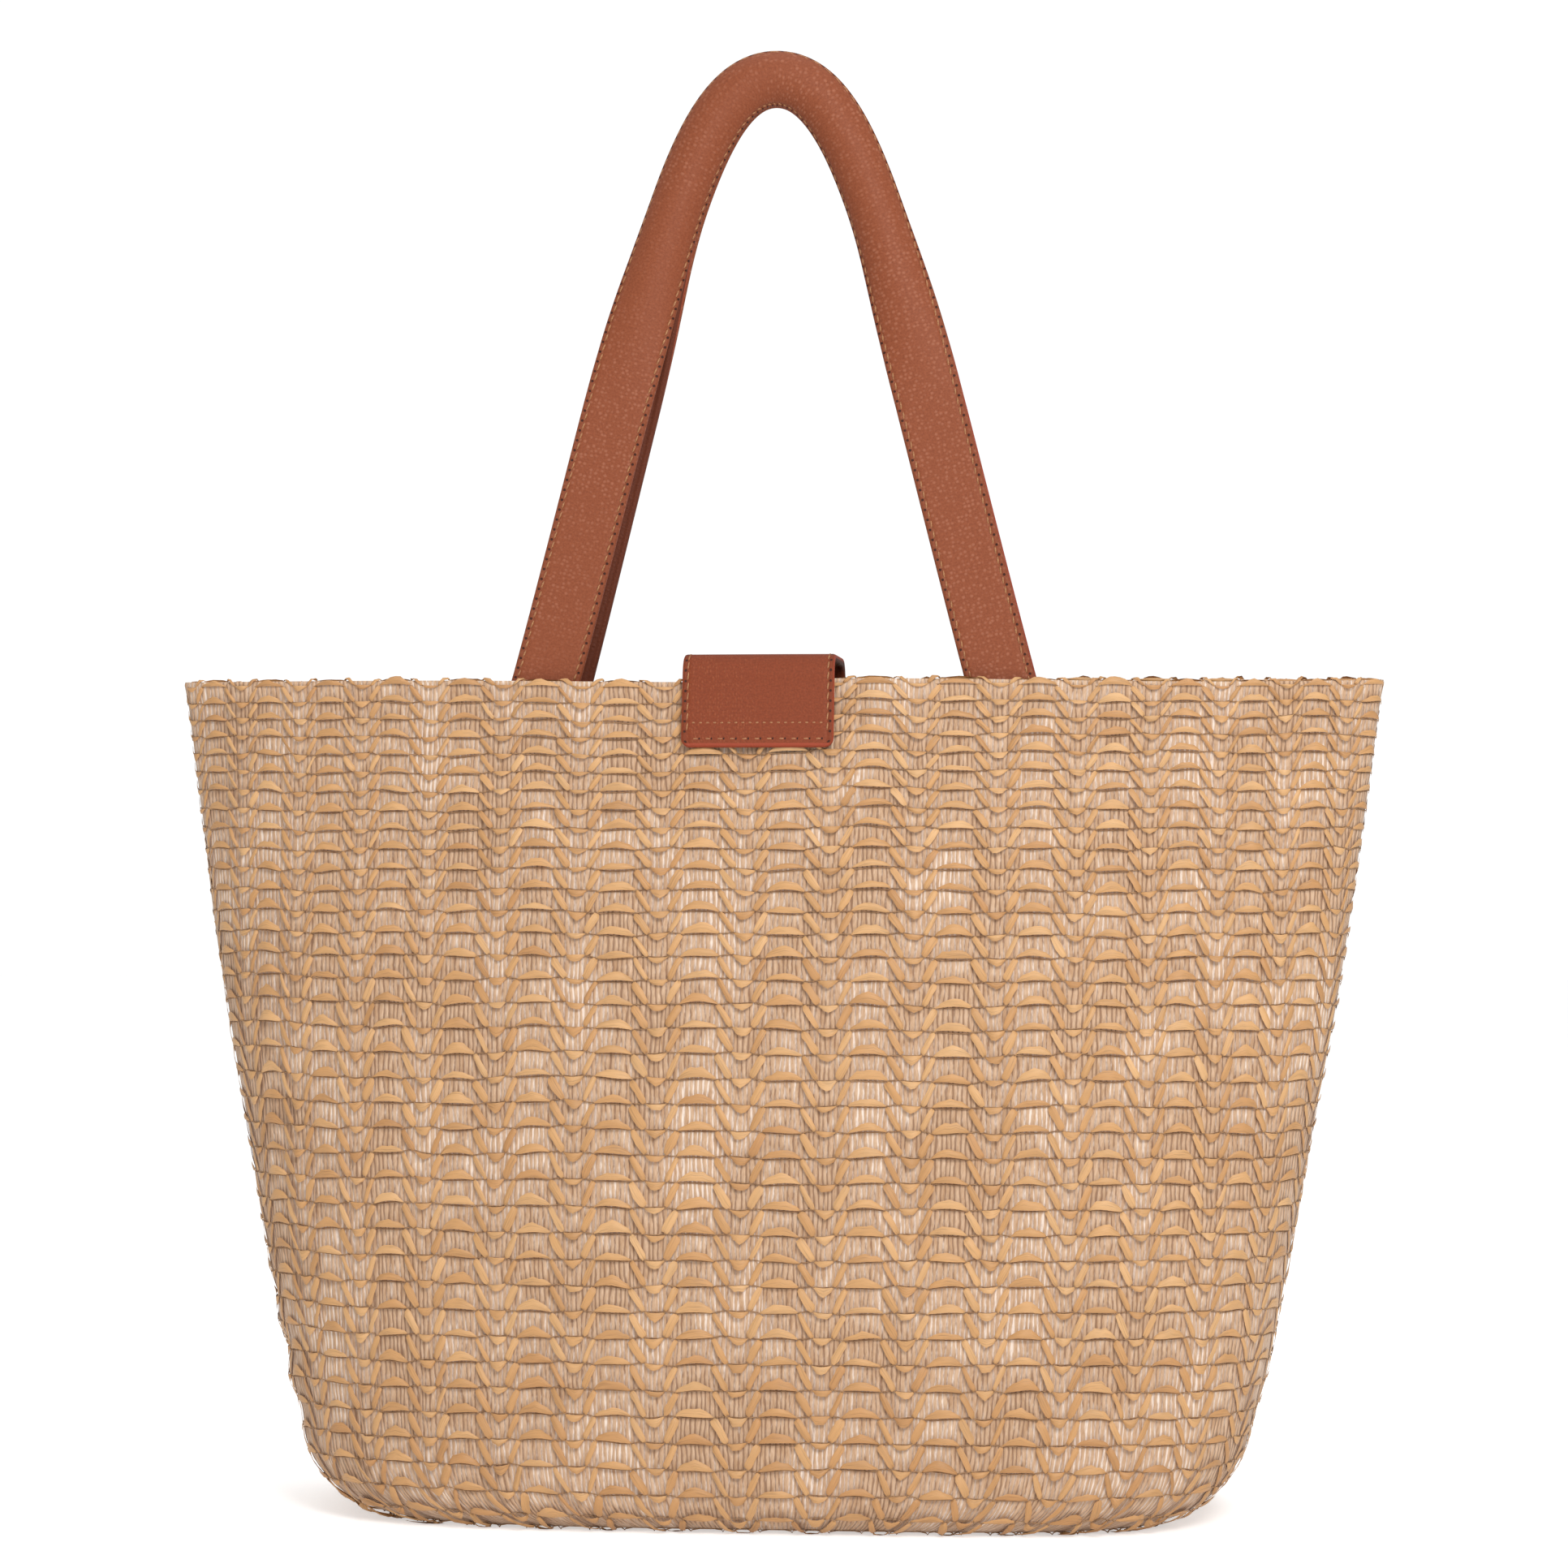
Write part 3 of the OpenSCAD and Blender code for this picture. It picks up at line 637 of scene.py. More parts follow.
# %% Ribbons in rows
def raffia_rows(name, centre, place_on, first, rows, waves_wide, seed):
    """All the ribbons of one side, as strips of grid bent into waves. centre is the wave number in the
    middle, first is the line of the first ribbon, and place_on turns (mm along, mm down, mm out) into
    places in space and the outward directions there."""
    chance = np.random.default_rng(seed)
    half = waves_wide / 2
    numbers = np.arange(math.floor(-half) - 1, math.ceil(half) + 1)
    u_flat = (numbers[:, None] * WAVE + wave_table[None, :, 0]).ravel()
    keep = (u_flat >= -half * WAVE) & (u_flat <= half * WAVE)
    stations, lanes = int(keep.sum()), 4
    mesh, station, lane, row = strips(name, rows, stations, lanes)

    def per_float(low, high):
        """One random value for each float, spread over the places along it."""
        values = chance.uniform(low, high, (rows, len(numbers), 4))
        return values[:, :, part_of].reshape(rows, -1)[:, keep]

    def per_wave(column):
        """One column of the table of a wave, for every place along the ribbon."""
        return np.tile(wave_table[:, column], len(numbers))[keep][None, :]

    swell = per_wave(6)
    wide = 1 + swell * (per_float(0.70, 1.20) * chance.uniform(0.82, 1.15, (rows, stations)) - 1)
    low = first + np.arange(rows)
    # ribbons are narrower near the rim, where the lines are closer
    wide = wide * ((line_down[low + 1] - line_down[low]) / LINE_PITCH)[:, None] ** 0.8
    half_width = per_wave(3) * wide
    offset = per_wave(2) * wide
    slope = per_wave(4) + swell * per_float(-0.10, 0.10)
    u = u_flat[keep][None, :] + per_float(-0.35, 0.35) * swell + centre * WAVE
    lines = per_wave(1) + first + np.arange(rows)[:, None]
    down_mm = line_height(lines, u) + offset + swell * per_float(-0.25, 0.25)
    raised = per_wave(5) * (1 + swell * (per_float(0.7, 1.25) - 1))
    crown = per_float(0.10, 0.60)
    lean = per_float(-0.45, 0.45)
    shade = np.clip(per_float(0.0, 1.0) * 0.5 + chance.uniform(0, 0.25, (rows, 1)) + 0.12, 0, 1)
    walked = np.arange(stations) * 0.95          # mm of ribbon, which come to this from place to place

    b = lane / (lanes - 1) * 2 - 1               # -1 and 1 at the ribbon's two edges
    pick = (row, station)
    side_u = u[pick] + np.sin(slope[pick]) * half_width[pick] * b
    side_v = down_mm[pick] - np.cos(slope[pick]) * half_width[pick] * b
    swell_at = np.broadcast_to(swell, u.shape)[pick]
    rumple = chance.uniform(-0.16, 0.16, len(b))
    out = raised[pick] + swell_at * (crown[pick] * (1 - b * b) + lean[pick] * b * 0.6 + rumple)
    out = np.where((station == 0) | (station == stations - 1), 0.0, out)
    places, normals_at = place_on(side_u, side_v, out)
    shape(mesh, places)
    # each ribbon starts at its own place in the pattern of creases
    lay_uv(mesh, walked[station] + row * 37.0, b * half_width[pick] + row * 7.3)
    tone(mesh, shade[pick])
    outward(mesh, normals_at)
    return mesh


# %% Ribbons of the two panels
CLOTH_SINK = 0.7      # mm that the lines of the pattern lie under the bag's outer size
GROUND_SINK = 1.5     # and the yarns


def flat_part(share, v):
    """1 on the flat of a panel, falling to 0 where the bag turns its side, over 0.45 of the half depth."""
    x, y, z = on_bag(share, v * MM, np.zeros(len(share))).T
    return np.clip((half_w(z) - np.abs(x)) / (0.45 * half_d(z)), 0, 1)


def on_wall(u, v, out):
    """Places on the wall, kept off the ground, and the outward directions there. Floats lie closer to the
    cloth round the sides, where it is pulled tight."""
    share = u / (WAVES_ROUND * WAVE)
    share = share + CROWDING * np.sin(4 * math.pi * share) / (4 * math.pi)
    out = out * (0.3 + 0.7 * flat_part(share, v))
    places = on_bag(share, v * MM, (out - CLOTH_SINK) * MM)
    outs = places - on_bag(share, v * MM, (out - CLOTH_SINK - 1) * MM)
    places[:, 2] = np.maximum(places[:, 2], 0.15 * MM)
    return places, outs


half_waves = WAVES_ROUND / 2
for side, centre, seed in (("back", 0, 101), ("front", half_waves, 202)):
    mesh = raffia_rows(side + "_raffia", centre, on_wall, 0, ROWS, half_waves, seed)
    finish_piece(side + "_raffia", mesh, "bag", raffia)

# %% [markdown]
# ## Under the base
# The weave goes on under the base and lies flat there, pressed by the board inside. The rows that reach
# under it are the same ribbons on a flat oval, with hardly any height, so the bag still stands level.

# %% Ribbons under the base
BASE_ROWS = 12
BASE_WAVES = 10


def on_base(u, v, out):
    """Places under the flat base, whose outline closes in towards both ends, and the downward directions."""
    middle = line_down[ROWS - BASE_ROWS // 2 - 1]
    deep = BASE_HALF_D - EDGE_R
    y = np.clip((v - middle) * MM, -deep, deep)
    long = (BASE_HALF_W - CORNER_R) * (1 - np.abs(y / BASE_HALF_D) ** BASE_POWER) ** (1 / BASE_POWER)
    places = np.stack([u / (BASE_WAVES * WAVE / 2) * long, y, (0.5 - 0.2 * out) * MM], 1)
    return places, np.tile([0, 0, -1.0], (len(u), 1))


mesh = raffia_rows("base_raffia", 0, on_base, ROWS - BASE_ROWS, BASE_ROWS - 1, BASE_WAVES, 505)
finish_piece("base_raffia", mesh, "bag", raffia)

# %% [markdown]
# ## Ground cloth
# The yarns make one tube of cloth that carries everything else. It turns over the rim, goes down the wall
# under the ribbons and closes across the base. Its yarns are drawn by the finish, because hundreds of them
# would cost far more than they show, and only this one mesh is needed behind the ribbons.

# %% Ground cloth, closed under the base
cloth_columns, wall_rows, floor_rows = 361, 190, 26
UNDER_BASE = 55       # mm of yarn from the edge of the base to its middle, as the map counts it
mesh, station, lane, _ = strips("jute_ground", 1, cloth_columns, wall_rows + floor_rows)
share = station / (cloth_columns - 1)
down_mm = -ROLL_DEPTH / MM + (DROP + ROLL_DEPTH) / MM * np.minimum(lane / (wall_rows - 1), 1)
# the cloth lies closer to the ribbons round the sides, at the rim and at the ground
sink = GROUND_SINK - 0.5 * (1 - flat_part(share, down_mm))
sink = sink * np.clip(0.4 + np.minimum(down_mm, DROP / MM - down_mm) / 12, 0.4, 1)
places = on_bag(share, down_mm * MM, -sink * MM)
outs = places - on_bag(share, down_mm * MM, -(sink + 1) * MM)
# 0 on the wall, 1 in the middle of the base
inward = np.clip((lane - wall_rows + 1) / floor_rows, 0, 1)
places[:, :2] *= (1 - inward)[:, None]
shape(mesh, places)
lay_uv(mesh, share * RIM_GIRTH / MM, down_mm + inward * UNDER_BASE)
outward(mesh, outs)


def weld(mesh):
    """Joins vertices that lie on each other, as at a seam."""
    bm = bmesh.new()
    bm.from_mesh(mesh)
    bmesh.ops.remove_doubles(bm, verts=bm.verts, dist=1e-6)
    bmesh.ops.dissolve_degenerate(bm, edges=bm.edges, dist=1e-7)
    bm.to_mesh(mesh)
    bm.free()


weld(mesh)
ground_cloth = finish_piece("jute_ground", mesh, "bag", jute)
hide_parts("back_panel", "front_panel")

# %% [markdown]
# ## Binding threads
# A thread runs along every sewn line. It lies low under the floats and comes up over the ribbon at each
# pinched place, which is what holds the straw down. It is a thin tube of five lanes, since a binding this
# small needs no more.

# %% Binding threads
THREAD_R = 0.22       # mm
THREAD_SINK = 0.35    # mm that it is pulled into the cloth
# mm along the wave, mm below the line, and mm out
thread_wave = np.array([
    (0.3, 0.30, 0.55), (4.0, 0.30, 0.0), (10.0, 0.30, 0.0), (13.2, 0.30, 0.5), (13.8, 0.15, 1.15),
    (14.4, 0.0, 0.4), (16.2, -0.2, 0.1), (18.3, -0.2, 0.4), (18.9, -0.25, 1.15), (19.5, -0.2, 0.5),
    (21.5, -0.05, 0.0), (24.0, -0.05, 0.0), (25.6, -0.2, 0.5), (26.1, -0.25, 1.15), (26.7, -0.2, 0.4),
    (28.5, 0.0, 0.1), (29.9, 0.15, 1.1),
])


def thread_rows(name, centre, place_on, first, rows, waves_wide, seed):
    """The threads of one side, given like the ribbons of raffia_rows."""
    chance = np.random.default_rng(seed)
    half = waves_wide / 2
    numbers = np.arange(math.floor(-half) - 1, math.ceil(half) + 1)
    u_flat = (numbers[:, None] * WAVE + thread_wave[None, :, 0]).ravel()
    keep = (u_flat >= -half * WAVE) & (u_flat <= half * WAVE)
    stations, lanes = int(keep.sum()), 5
    mesh, station, lane, row = strips(name, rows, stations, lanes)
    u = u_flat[keep][None, :] + chance.uniform(-0.15, 0.15, (rows, stations)) + centre * WAVE
    offset = np.tile(thread_wave[:, 1], len(numbers))[keep][None, :]
    out = np.tile(thread_wave[:, 2], len(numbers))[keep][None, :]
    out = out + chance.uniform(-0.08, 0.08, (rows, stations))
    lines = np.broadcast_to((first + np.arange(rows)[:, None]).astype(float), u.shape)
    down_mm = line_height(lines, u) + offset + chance.uniform(-0.12, 0.12, (rows, stations))
    pick = (row, station)
    turn = lane / (lanes - 1) * 2 * math.pi
    # near the rim the threads lie flat, out of the way of the leather that passes over it
    out = out * np.clip(0.2 + down_mm / 10, 0.2, 1)
    places, _ = place_on(u[pick], down_mm[pick] + THREAD_R * np.cos(turn),
                         out[pick] - THREAD_SINK + THREAD_R * np.sin(turn))
    shape(mesh, places)
    middle, _ = place_on(u[pick], down_mm[pick], out[pick] - THREAD_SINK)
    outward(mesh, places - middle)
    weld(mesh)
    return mesh


for side, centre, seed in (("back", 0, 303), ("front", half_waves, 404)):
    mesh = thread_rows(side + "_binding_threads", centre, on_wall, 1, ROWS, half_waves, seed)
    finish_piece(side + "_binding_threads", mesh, "bag", thread)

# %% [markdown]
# ## Leather
# The straps and the tab are two layers of pebbled leather glued back to back, with painted edges and a
# row of slanting stitches pulled down into a groove near each edge. A strip of leather is easiest to
# think of as a path with a flat section: so many millimetres along, across and out. The same rule then
# places the leather, its stitches and the holes they sit in. At the top of a handle the strap curls back
# round the fingers, which is written as a section bent to an arc.

# %% Pebbled leather
STITCH_PITCH = 3.8    # mm
GROOVE = 2.25         # mm from the edge to the stitches
PEBBLES_PER_MM = 0.62


def pebbled_leather(name, face, light, dark, edge, back, half_width, thickness, bead, length, grain, creases):
    """Cow leather, dyed, pressed with a pebble grain and waxed. To the eye it is a warm brown with a soft,
    weak shine, small pebbles with painted highlights, painted shade in its wrinkles, stitch grooves and
    needle holes, a smooth painted edge, and a back that is a darker leather with painted shade over it. The
    UV map counts mm along, and mm from the middle of the face round to the middle of the back. bead is the
    width of the paint on the face, grain scales the pebbles, and creases holds how deep the wrinkles are and
    how close, along and across."""
    made, tree, shader = material(name, **{"Roughness": 0.6, "Specular IOR Level": 0.22})
    place = add(tree, "UVMap", uv_map="cloth_mm")
    along_strip = add(tree, "SeparateXYZ", {0: place})
    across = add(tree, "Math", {0: along_strip.node.outputs[1]}, operation="ABSOLUTE")
    pebble_scale = (PEBBLES_PER_MM * grain[0], PEBBLES_PER_MM * grain[1], 1)
    pebble_at = add(tree, "Mapping", {"Vector": place, "Scale": pebble_scale})
    pebble = add(tree, "TexVoronoi", {"Vector": pebble_at, "Scale": 1.0, "Randomness": 0.55}, out="Distance")
    dot = add(tree, "ValToRGB", {0: pebble}, stops=((0.14, 1.0), (0.46, 0.0)))
    # pores under a millimetre across, and broad patches 8 cm across, which set where the pebbles show
    fine = add(tree, "TexNoise", {"Vector": place, "Scale": 1.3, "Detail": 5.0, "Roughness": 0.65})
    broad = add(tree, "TexNoise", {"Vector": place, "Scale": 0.012, "Detail": 3.0})
    crease_at = add(tree, "Mapping", {"Vector": place, "Scale": creases[1:] + (1.0,)})
    crease = add(tree, "TexNoise", {"Vector": crease_at, "Scale": 1.0, "Detail": 4.0, "Roughness": 0.6})
    # the pebbles, with their relief and their painted highlights, show in broad patches and all along a
    # strap's second leg
    pebble_patches = add(tree, "ValToRGB", {0: broad}, stops=((0.42, 0.3), (0.56, 1.0)))
    second_leg = add(tree, "MapRange", {0: along_strip, 1: 310.0, 2: 370.0})
    pebble_area = add(tree, "Math", {0: pebble_patches, 1: second_leg}, operation="MAXIMUM")
    pebbled = add(tree, "Math", {0: dot, 1: pebble_area}, operation="MULTIPLY")
    pebble_highlight_share = add(tree, "Math", {0: pebbled, 1: 0.32}, operation="MULTIPLY")
    # painted shade in the wrinkles
    wrinkle_shade = add(tree, "ValToRGB", {0: crease}, stops=((0.36, 1.0), (0.47, 0.0)))
    wrinkle_shade_share = add(tree, "Math", {0: wrinkle_shade, 1: 0.35 * creases[0]}, operation="MULTIPLY")
    base = add(tree, "ValToRGB", {0: fine}, stops=((0.3, colour(dark)), (0.7, colour(face))))
    # light is the colour of the painted highlights on the tops of the pebbles
    base = add(tree, "Mix", {0: pebble_highlight_share, 6: base, 7: colour(light)}, **TWO_COLOURS)
    base = add(tree, "Mix", {0: wrinkle_shade_share, 6: base, 7: colour(dark)}, **TWO_COLOURS)
    # a needle hole at both ends of each stitch, in a groove that the stitches pull down: painted shade
    # darkens the groove, and more so the holes
    number = add(tree, "Math", {0: along_strip, 1: STITCH_PITCH}, operation="DIVIDE")
    part_way = add(tree, "Math", {0: number}, operation="FRACT")
    from_hole = add(tree, "Math", {0: part_way, 1: 0.5}, operation="SUBTRACT")
    from_hole = add(tree, "Math", {0: from_hole, 1: STITCH_PITCH}, operation="MULTIPLY")
    from_groove = add(tree, "Math", {0: across, 1: half_width - GROOVE}, operation="SUBTRACT")
    hole_squared = add(tree, "Math", {0: from_hole, 1: from_hole}, operation="MULTIPLY")
    groove_squared = add(tree, "Math", {0: from_groove, 1: from_groove}, operation="MULTIPLY")
    reach = add(tree, "Math", {0: hole_squared, 1: groove_squared}, operation="ADD")
    hole = add(tree, "ValToRGB", {0: reach}, stops=((0.12, 1.0), (0.32, 0.0)))
    # painted shade along the stitch groove
    pulled = add(tree, "ValToRGB", {0: groove_squared}, stops=((0.1, 0.5), (0.9, 0.0)))
    base = add(tree, "Mix", {0: pulled, 6: base, 7: colour(dark)}, **TWO_COLOURS)
    base = add(tree, "Mix", {0: hole, 6: base, 7: colour("#3A1A10")}, **TWO_COLOURS)
    # bands by how far round the section: face, painted edge, back
    side_band = add(tree, "MapRange", {0: across, 1: half_width - bead, 2: half_width - bead + 0.4})
    to_far_end = add(tree, "Math", {0: length, 1: along_strip}, operation="SUBTRACT")
    from_end = add(tree, "Math", {0: along_strip, 1: to_far_end}, operation="MINIMUM")
    end_band = add(tree, "MapRange", {0: from_end, 1: bead, 2: bead - 0.4})
    paint = add(tree, "Math", {0: side_band, 1: end_band}, operation="MAXIMUM")
    # the back is a darker leather in its own colour, and is painted darker still as shade
    back_starts, back_full = half_width + thickness * 0.72, half_width + thickness * 0.8
    back_band = add(tree, "MapRange", {0: across, 1: back_starts, 2: back_full})
    back_leather_and_shade = add(tree, "Mix", {0: fine, 6: colour(back), 7: colour(dark)}, **TWO_COLOURS)
    base = add(tree, "Mix", {0: paint, 6: base, 7: colour(edge)}, **TWO_COLOURS)
    base = add(tree, "Mix", {0: back_band, 6: base, 7: back_leather_and_shade}, **TWO_COLOURS)
    tree.links.new(base, shader.inputs["Base Color"])
    pebble_height = add(tree, "Math", {0: pebbled, 1: 0.5}, operation="MULTIPLY")
    pore_height = add(tree, "Math", {0: fine, 1: 0.35}, operation="MULTIPLY")
    crease_height = add(tree, "Math", {0: crease, 1: 0.8 * creases[0]}, operation="MULTIPLY")
    hole_depth = add(tree, "Math", {0: hole, 1: 1.6}, operation="MULTIPLY")
    relief = add(tree, "Math", {0: pebble_height, 1: pore_height}, operation="ADD")
    relief = add(tree, "Math", {0: relief, 1: crease_height}, operation="ADD")
    relief = add(tree, "Math", {0: relief, 1: hole_depth}, operation="SUBTRACT")
    bump = add(tree, "Bump", {"Height": relief, "Strength": 0.55, "Distance": 0.35 * MM})
    tree.links.new(bump, shader.inputs["Normal"])
    return made


print("pebbles", round(1 / PEBBLES_PER_MM, 1), "mm apart, stitches", STITCH_PITCH, "mm apart")

# %% Sewing thread
def waxed_thread():
    """Linen, twisted hard and waxed. To the eye it is smooth tan with a dull shine, and flecks half a
    millimetre long that follow the twist."""
    made, tree, shader = material("waxed_linen_thread", **{"Roughness": 0.5})
    place = add(tree, "TexCoord", out="Object")
    twist = add(tree, "TexNoise", {"Vector": place, "Scale": 2200.0, "Detail": 2.0})
    flecks = add(tree, "ValToRGB", {0: twist}, stops=((0.3, colour("#84502F")), (0.7, colour("#B07A4E"))))
    tree.links.new(flecks, shader.inputs["Base Color"])
    return made


sewing_thread = waxed_thread()
print("finish:", sewing_thread.name)

# %% A path with a section
class Strip:
    """A strip of leather along a path. Each of its points has a place, a direction across and one out of
    the face, and the angle that its edges curl back."""

    def __init__(self, points, across, curl, half_width, thickness):
        self.points, self.half_width, self.thickness = np.array(points), half_width, thickness
        self.walked = np.concatenate([[0], np.cumsum(np.linalg.norm(np.diff(self.points, axis=0), axis=1))])
        self.length = self.walked[-1]
        tangent = np.gradient(self.points, axis=0)
        self.tangent = tangent / np.linalg.norm(tangent, axis=1, keepdims=True)
        across = np.broadcast_to(across, self.points.shape)
        across = across - self.tangent * (self.tangent * across).sum(1, keepdims=True)
        self.across = across / np.linalg.norm(across, axis=1, keepdims=True)
        self.face = np.cross(self.across, self.tangent)
        self.curl = np.maximum(np.broadcast_to(curl, len(self.points)), 0.002)

    def read(self, values, along):
        """Values given at the path's points, read at metres along it."""
        return np.stack([np.interp(along, self.walked, values[:, i]) for i in range(3)], 1)

    def place(self, along, side, out):
        """Points at metres along, metres to the side and metres out of the middle layer."""
        curl = np.interp(along, self.walked, self.curl)
        radius = self.half_width / curl
        turn = side / radius
        lateral, depth = (radius + out) * np.sin(turn), (radius + out) * np.cos(turn) - radius
        return (self.read(self.points, along) + self.read(self.across, along) * lateral[:, None]
                + self.read(self.face, along) * depth[:, None])


# %% A piece of leather
# distance in from the edge in mm, and height as a share of half the thickness, with the stitches' groove
EDGE_SHAPE = [(0.0, 0.0), (0.10, 0.50), (0.42, 0.86), (1.0, 1.0), (1.6, 1.02), (2.25, 0.78), (2.9, 1.0),
              (3.8, 1.0)]


def leather_piece(name, strip, surface, spacing, corner=0.0, ends=(True, True), start=0.0, stop=None):
    """The leather itself: a grid rolled round the section. corner rounds the outline at the ends in metres,
    and ends says which of them are finished with a rounded edge."""
    stop = strip.length if stop is None else stop
    half = strip.half_width / MM
    side_line = [half - d for d, _ in EDGE_SHAPE]
    lift = [h for _, h in EDGE_SHAPE]
    middle = list(np.linspace(side_line[-1], -side_line[-1], 9)[1:-1])
    face_w = side_line + middle + [-w for w in side_line[::-1]]
    face_h = lift + [1.0] * len(middle) + lift[::-1]
    ring_w = np.array(face_w + face_w[::-1][1:])
    ring_h = np.array(face_h + [-h for h in face_h[::-1][1:]])
    lanes = len(ring_w)
    half_t = strip.thickness / 2 / MM
    steps = np.hypot(np.diff(ring_w), np.diff(ring_h) * half_t)
    round_v = np.concatenate([[0], np.cumsum(steps)])
    # v is 0 in the middle of the face, and grows both ways to the middle of the back
    front_length = round_v[len(face_w) - 1]
    v = np.where(round_v <= front_length, front_length / 2 - round_v, -(round_v - front_length / 2))
    v = v * (half / (front_length / 2))
    # even steps along the leather, and finer ones near its ends, where the edge and the outline are rounded
    count = max(4, int((stop - start) / spacing) + 1)
    along = np.linspace(start, stop, count)
    edge = 1.0 * MM
    near = np.array([0, 0.08, 0.3, 0.65, 1.0]) * edge
    more = np.linspace(edge, max(corner, edge), 4)[1:]
    along = np.unique(np.concatenate([along[(along > start + edge * 1.1) & (along < stop - edge * 1.1)]]
                                     + [start + near, stop - near, start + more, stop - more]).round(7))
    mesh, station, lane, _ = strips(name, 1, len(along), lanes)
    where = along[station]
    flat, narrow = np.ones(len(where)), np.zeros(len(where))
    for finished, distance in ((ends[0], where - start), (ends[1], stop - where)):
        if finished:
            flat *= np.sqrt(np.clip(1 - np.clip(1 - distance / edge, 0, 1) ** 2, 0, 1))
            if corner:
                narrow += corner * (1 - np.sqrt(np.clip(1 - np.clip(1 - distance / corner, 0, 1) ** 2, 0, 1)))
    side = ring_w[lane] * MM * (1 - narrow / strip.half_width)
    out = ring_h[lane] * half_t * MM * flat
    places = strip.place(where, side, out)
    shape(mesh, places)
    lay_uv(mesh, where / MM, v[lane])
    core = strip.place(where, side * 0.97, out * 0.2)
    outward(mesh, places - core)
    bm = bmesh.new()
    bm.from_mesh(mesh)
    bmesh.ops.remove_doubles(bm, verts=bm.verts, dist=2e-6)
    open_edges = [e for e in bm.edges if e.is_boundary]
    bmesh.ops.holes_fill(bm, edges=open_edges, sides=0)
    bmesh.ops.recalc_face_normals(bm, faces=bm.faces)
    bm.to_mesh(mesh)
    bm.free()
    return finish_piece(name, mesh, None, surface)


# %% Stitches
def stitches(name, strip, rows, surface, radius=0.38, height=0.0):
    """Small tight stitches. rows holds (start along, start side, end along, end side) in mm for each. Each
    is a thin tube that narrows to both ends, where it goes into the leather, and height lifts or sinks it."""
    rows = np.array(rows)
    stations, lanes = 6, 7
    mesh, station, lane, number = strips(name, len(rows), stations, lanes)
    q = np.array([0.0, 0.10, 0.32, 0.68, 0.90, 1.0])[station]
    thick = np.array([0.0, 0.62, 1.0, 1.0, 0.62, 0.0])[station] * radius
    turn = lane / (lanes - 1) * 2 * math.pi
    a, b = rows[number, :2], rows[number, 2:]
    line = b - a
    sideways = np.stack([-line[:, 1], line[:, 0]], 1) / np.linalg.norm(line, axis=1, keepdims=True)
    flat = a + line * q[:, None] + sideways * (thick * np.cos(turn))[:, None]
    sag = 0.30 * (2 * q - 1) ** 2
    out = strip.thickness / 2 / MM * 0.86 + height + 0.16 - sag + thick * np.sin(turn) * 0.8
    places = strip.place(flat[:, 0] * MM, flat[:, 1] * MM, out * MM)
    shape(mesh, places)
    centre_flat = a + line * q[:, None]
    middle = strip.place(centre_flat[:, 0] * MM, centre_flat[:, 1] * MM,
                         (out - thick * np.sin(turn) * 0.8) * MM)
    outward(mesh, places - middle)
    weld(mesh)
    return finish_piece(name, mesh, None, surface)


# %% [markdown]
# ## The handles
# Each strap comes up out of the mouth, leans inwards as its leg rises and turns over at the top, where it
# curls round the hand. Its ends are sewn down inside. A smooth curve steered by four points gives one leg,
# the sewn end goes on below it, and the other leg is its mirror image. Both handles are the same strap,
# turned half way round for the front. Each one bends over the rim.

# %% The path of a handle
STRAP_HALF_W = 12.5 * MM
STRAP_T = 3.4 * MM
LEG_X = 84 * MM                      # from the middle of the bag to the middle of a leg, at the rim
HANDLE_RISE = 225 * MM
HINGE_Z = HEIGHT + 0.5 * MM
STRAP_END = 38 * MM                  # what is sewn down inside
RIM_TO_STRAP = 6.5 * MM              # from the bag's outside to the middle of the strap
STRAP_OFF_WALL = 0.0175              # radians, a degree more upright than the wall
APEX_CURL = math.radians(78)         # how far the edges turn back at the top
STRAP_Y = RIM_HALF_D * math.sqrt(1 - (LEG_X / RIM_HALF_W) ** 2) - RIM_TO_STRAP
APEX_R = STRAP_HALF_W / APEX_CURL
APEX_Y = APEX_R * (1 - math.cos(APEX_CURL)) + STRAP_T / 2 * math.cos(APEX_CURL) + 0.3 * MM

t = np.linspace(0, 1, 150)[:, None]
corners_x = np.array([LEG_X, LEG_X * 0.54, LEG_X * 0.39, 0])
corners_z = np.array([0, HANDLE_RISE * 0.655, HANDLE_RISE, HANDLE_RISE])
share_of = np.concatenate([(1 - t) ** 3, 3 * (1 - t) ** 2 * t, 3 * (1 - t) * t ** 2, t ** 3], 1)
leg_x, leg_z = share_of @ corners_x, share_of @ corners_z
leg_y = -(STRAP_Y + (APEX_Y - STRAP_Y) * leg_z / HANDLE_RISE)
leg = np.stack([leg_x, leg_y, HINGE_Z + leg_z], 1)
splay = math.atan2(corners_x[0] - corners_x[1], corners_z[1])
wall_lean = math.atan((half_d(HEIGHT - MM) - half_d(HEIGHT + MM)) / (2 * MM))
end_lean = wall_lean - STRAP_OFF_WALL
end_way = np.array([math.sin(splay), -math.cos(splay) * math.sin(end_lean),
                    -math.cos(splay) * math.cos(end_lean)])
sewn_end = leg[0] + end_way * np.linspace(STRAP_END, 1.5 * MM, 26)[:, None]
half_path = np.concatenate([sewn_end, leg])
for _ in range(6):                                   # eases the bend at the mouth
    half_path[1:-1] = half_path[1:-1] * 0.5 + (half_path[2:] + half_path[:-2]) * 0.25
right = half_path[::-1][1:]
path = np.concatenate([half_path * [-1, 1, 1], right])
rise_share = (path[:, 2] - HINGE_Z) / HANDLE_RISE
ease = np.clip((rise_share - 0.4) / 0.4, 0, 1)          # the curl begins 0.4 of the way up
print("the handle's top is", round(float(path[:, 2].max()), 4), "m from the ground")

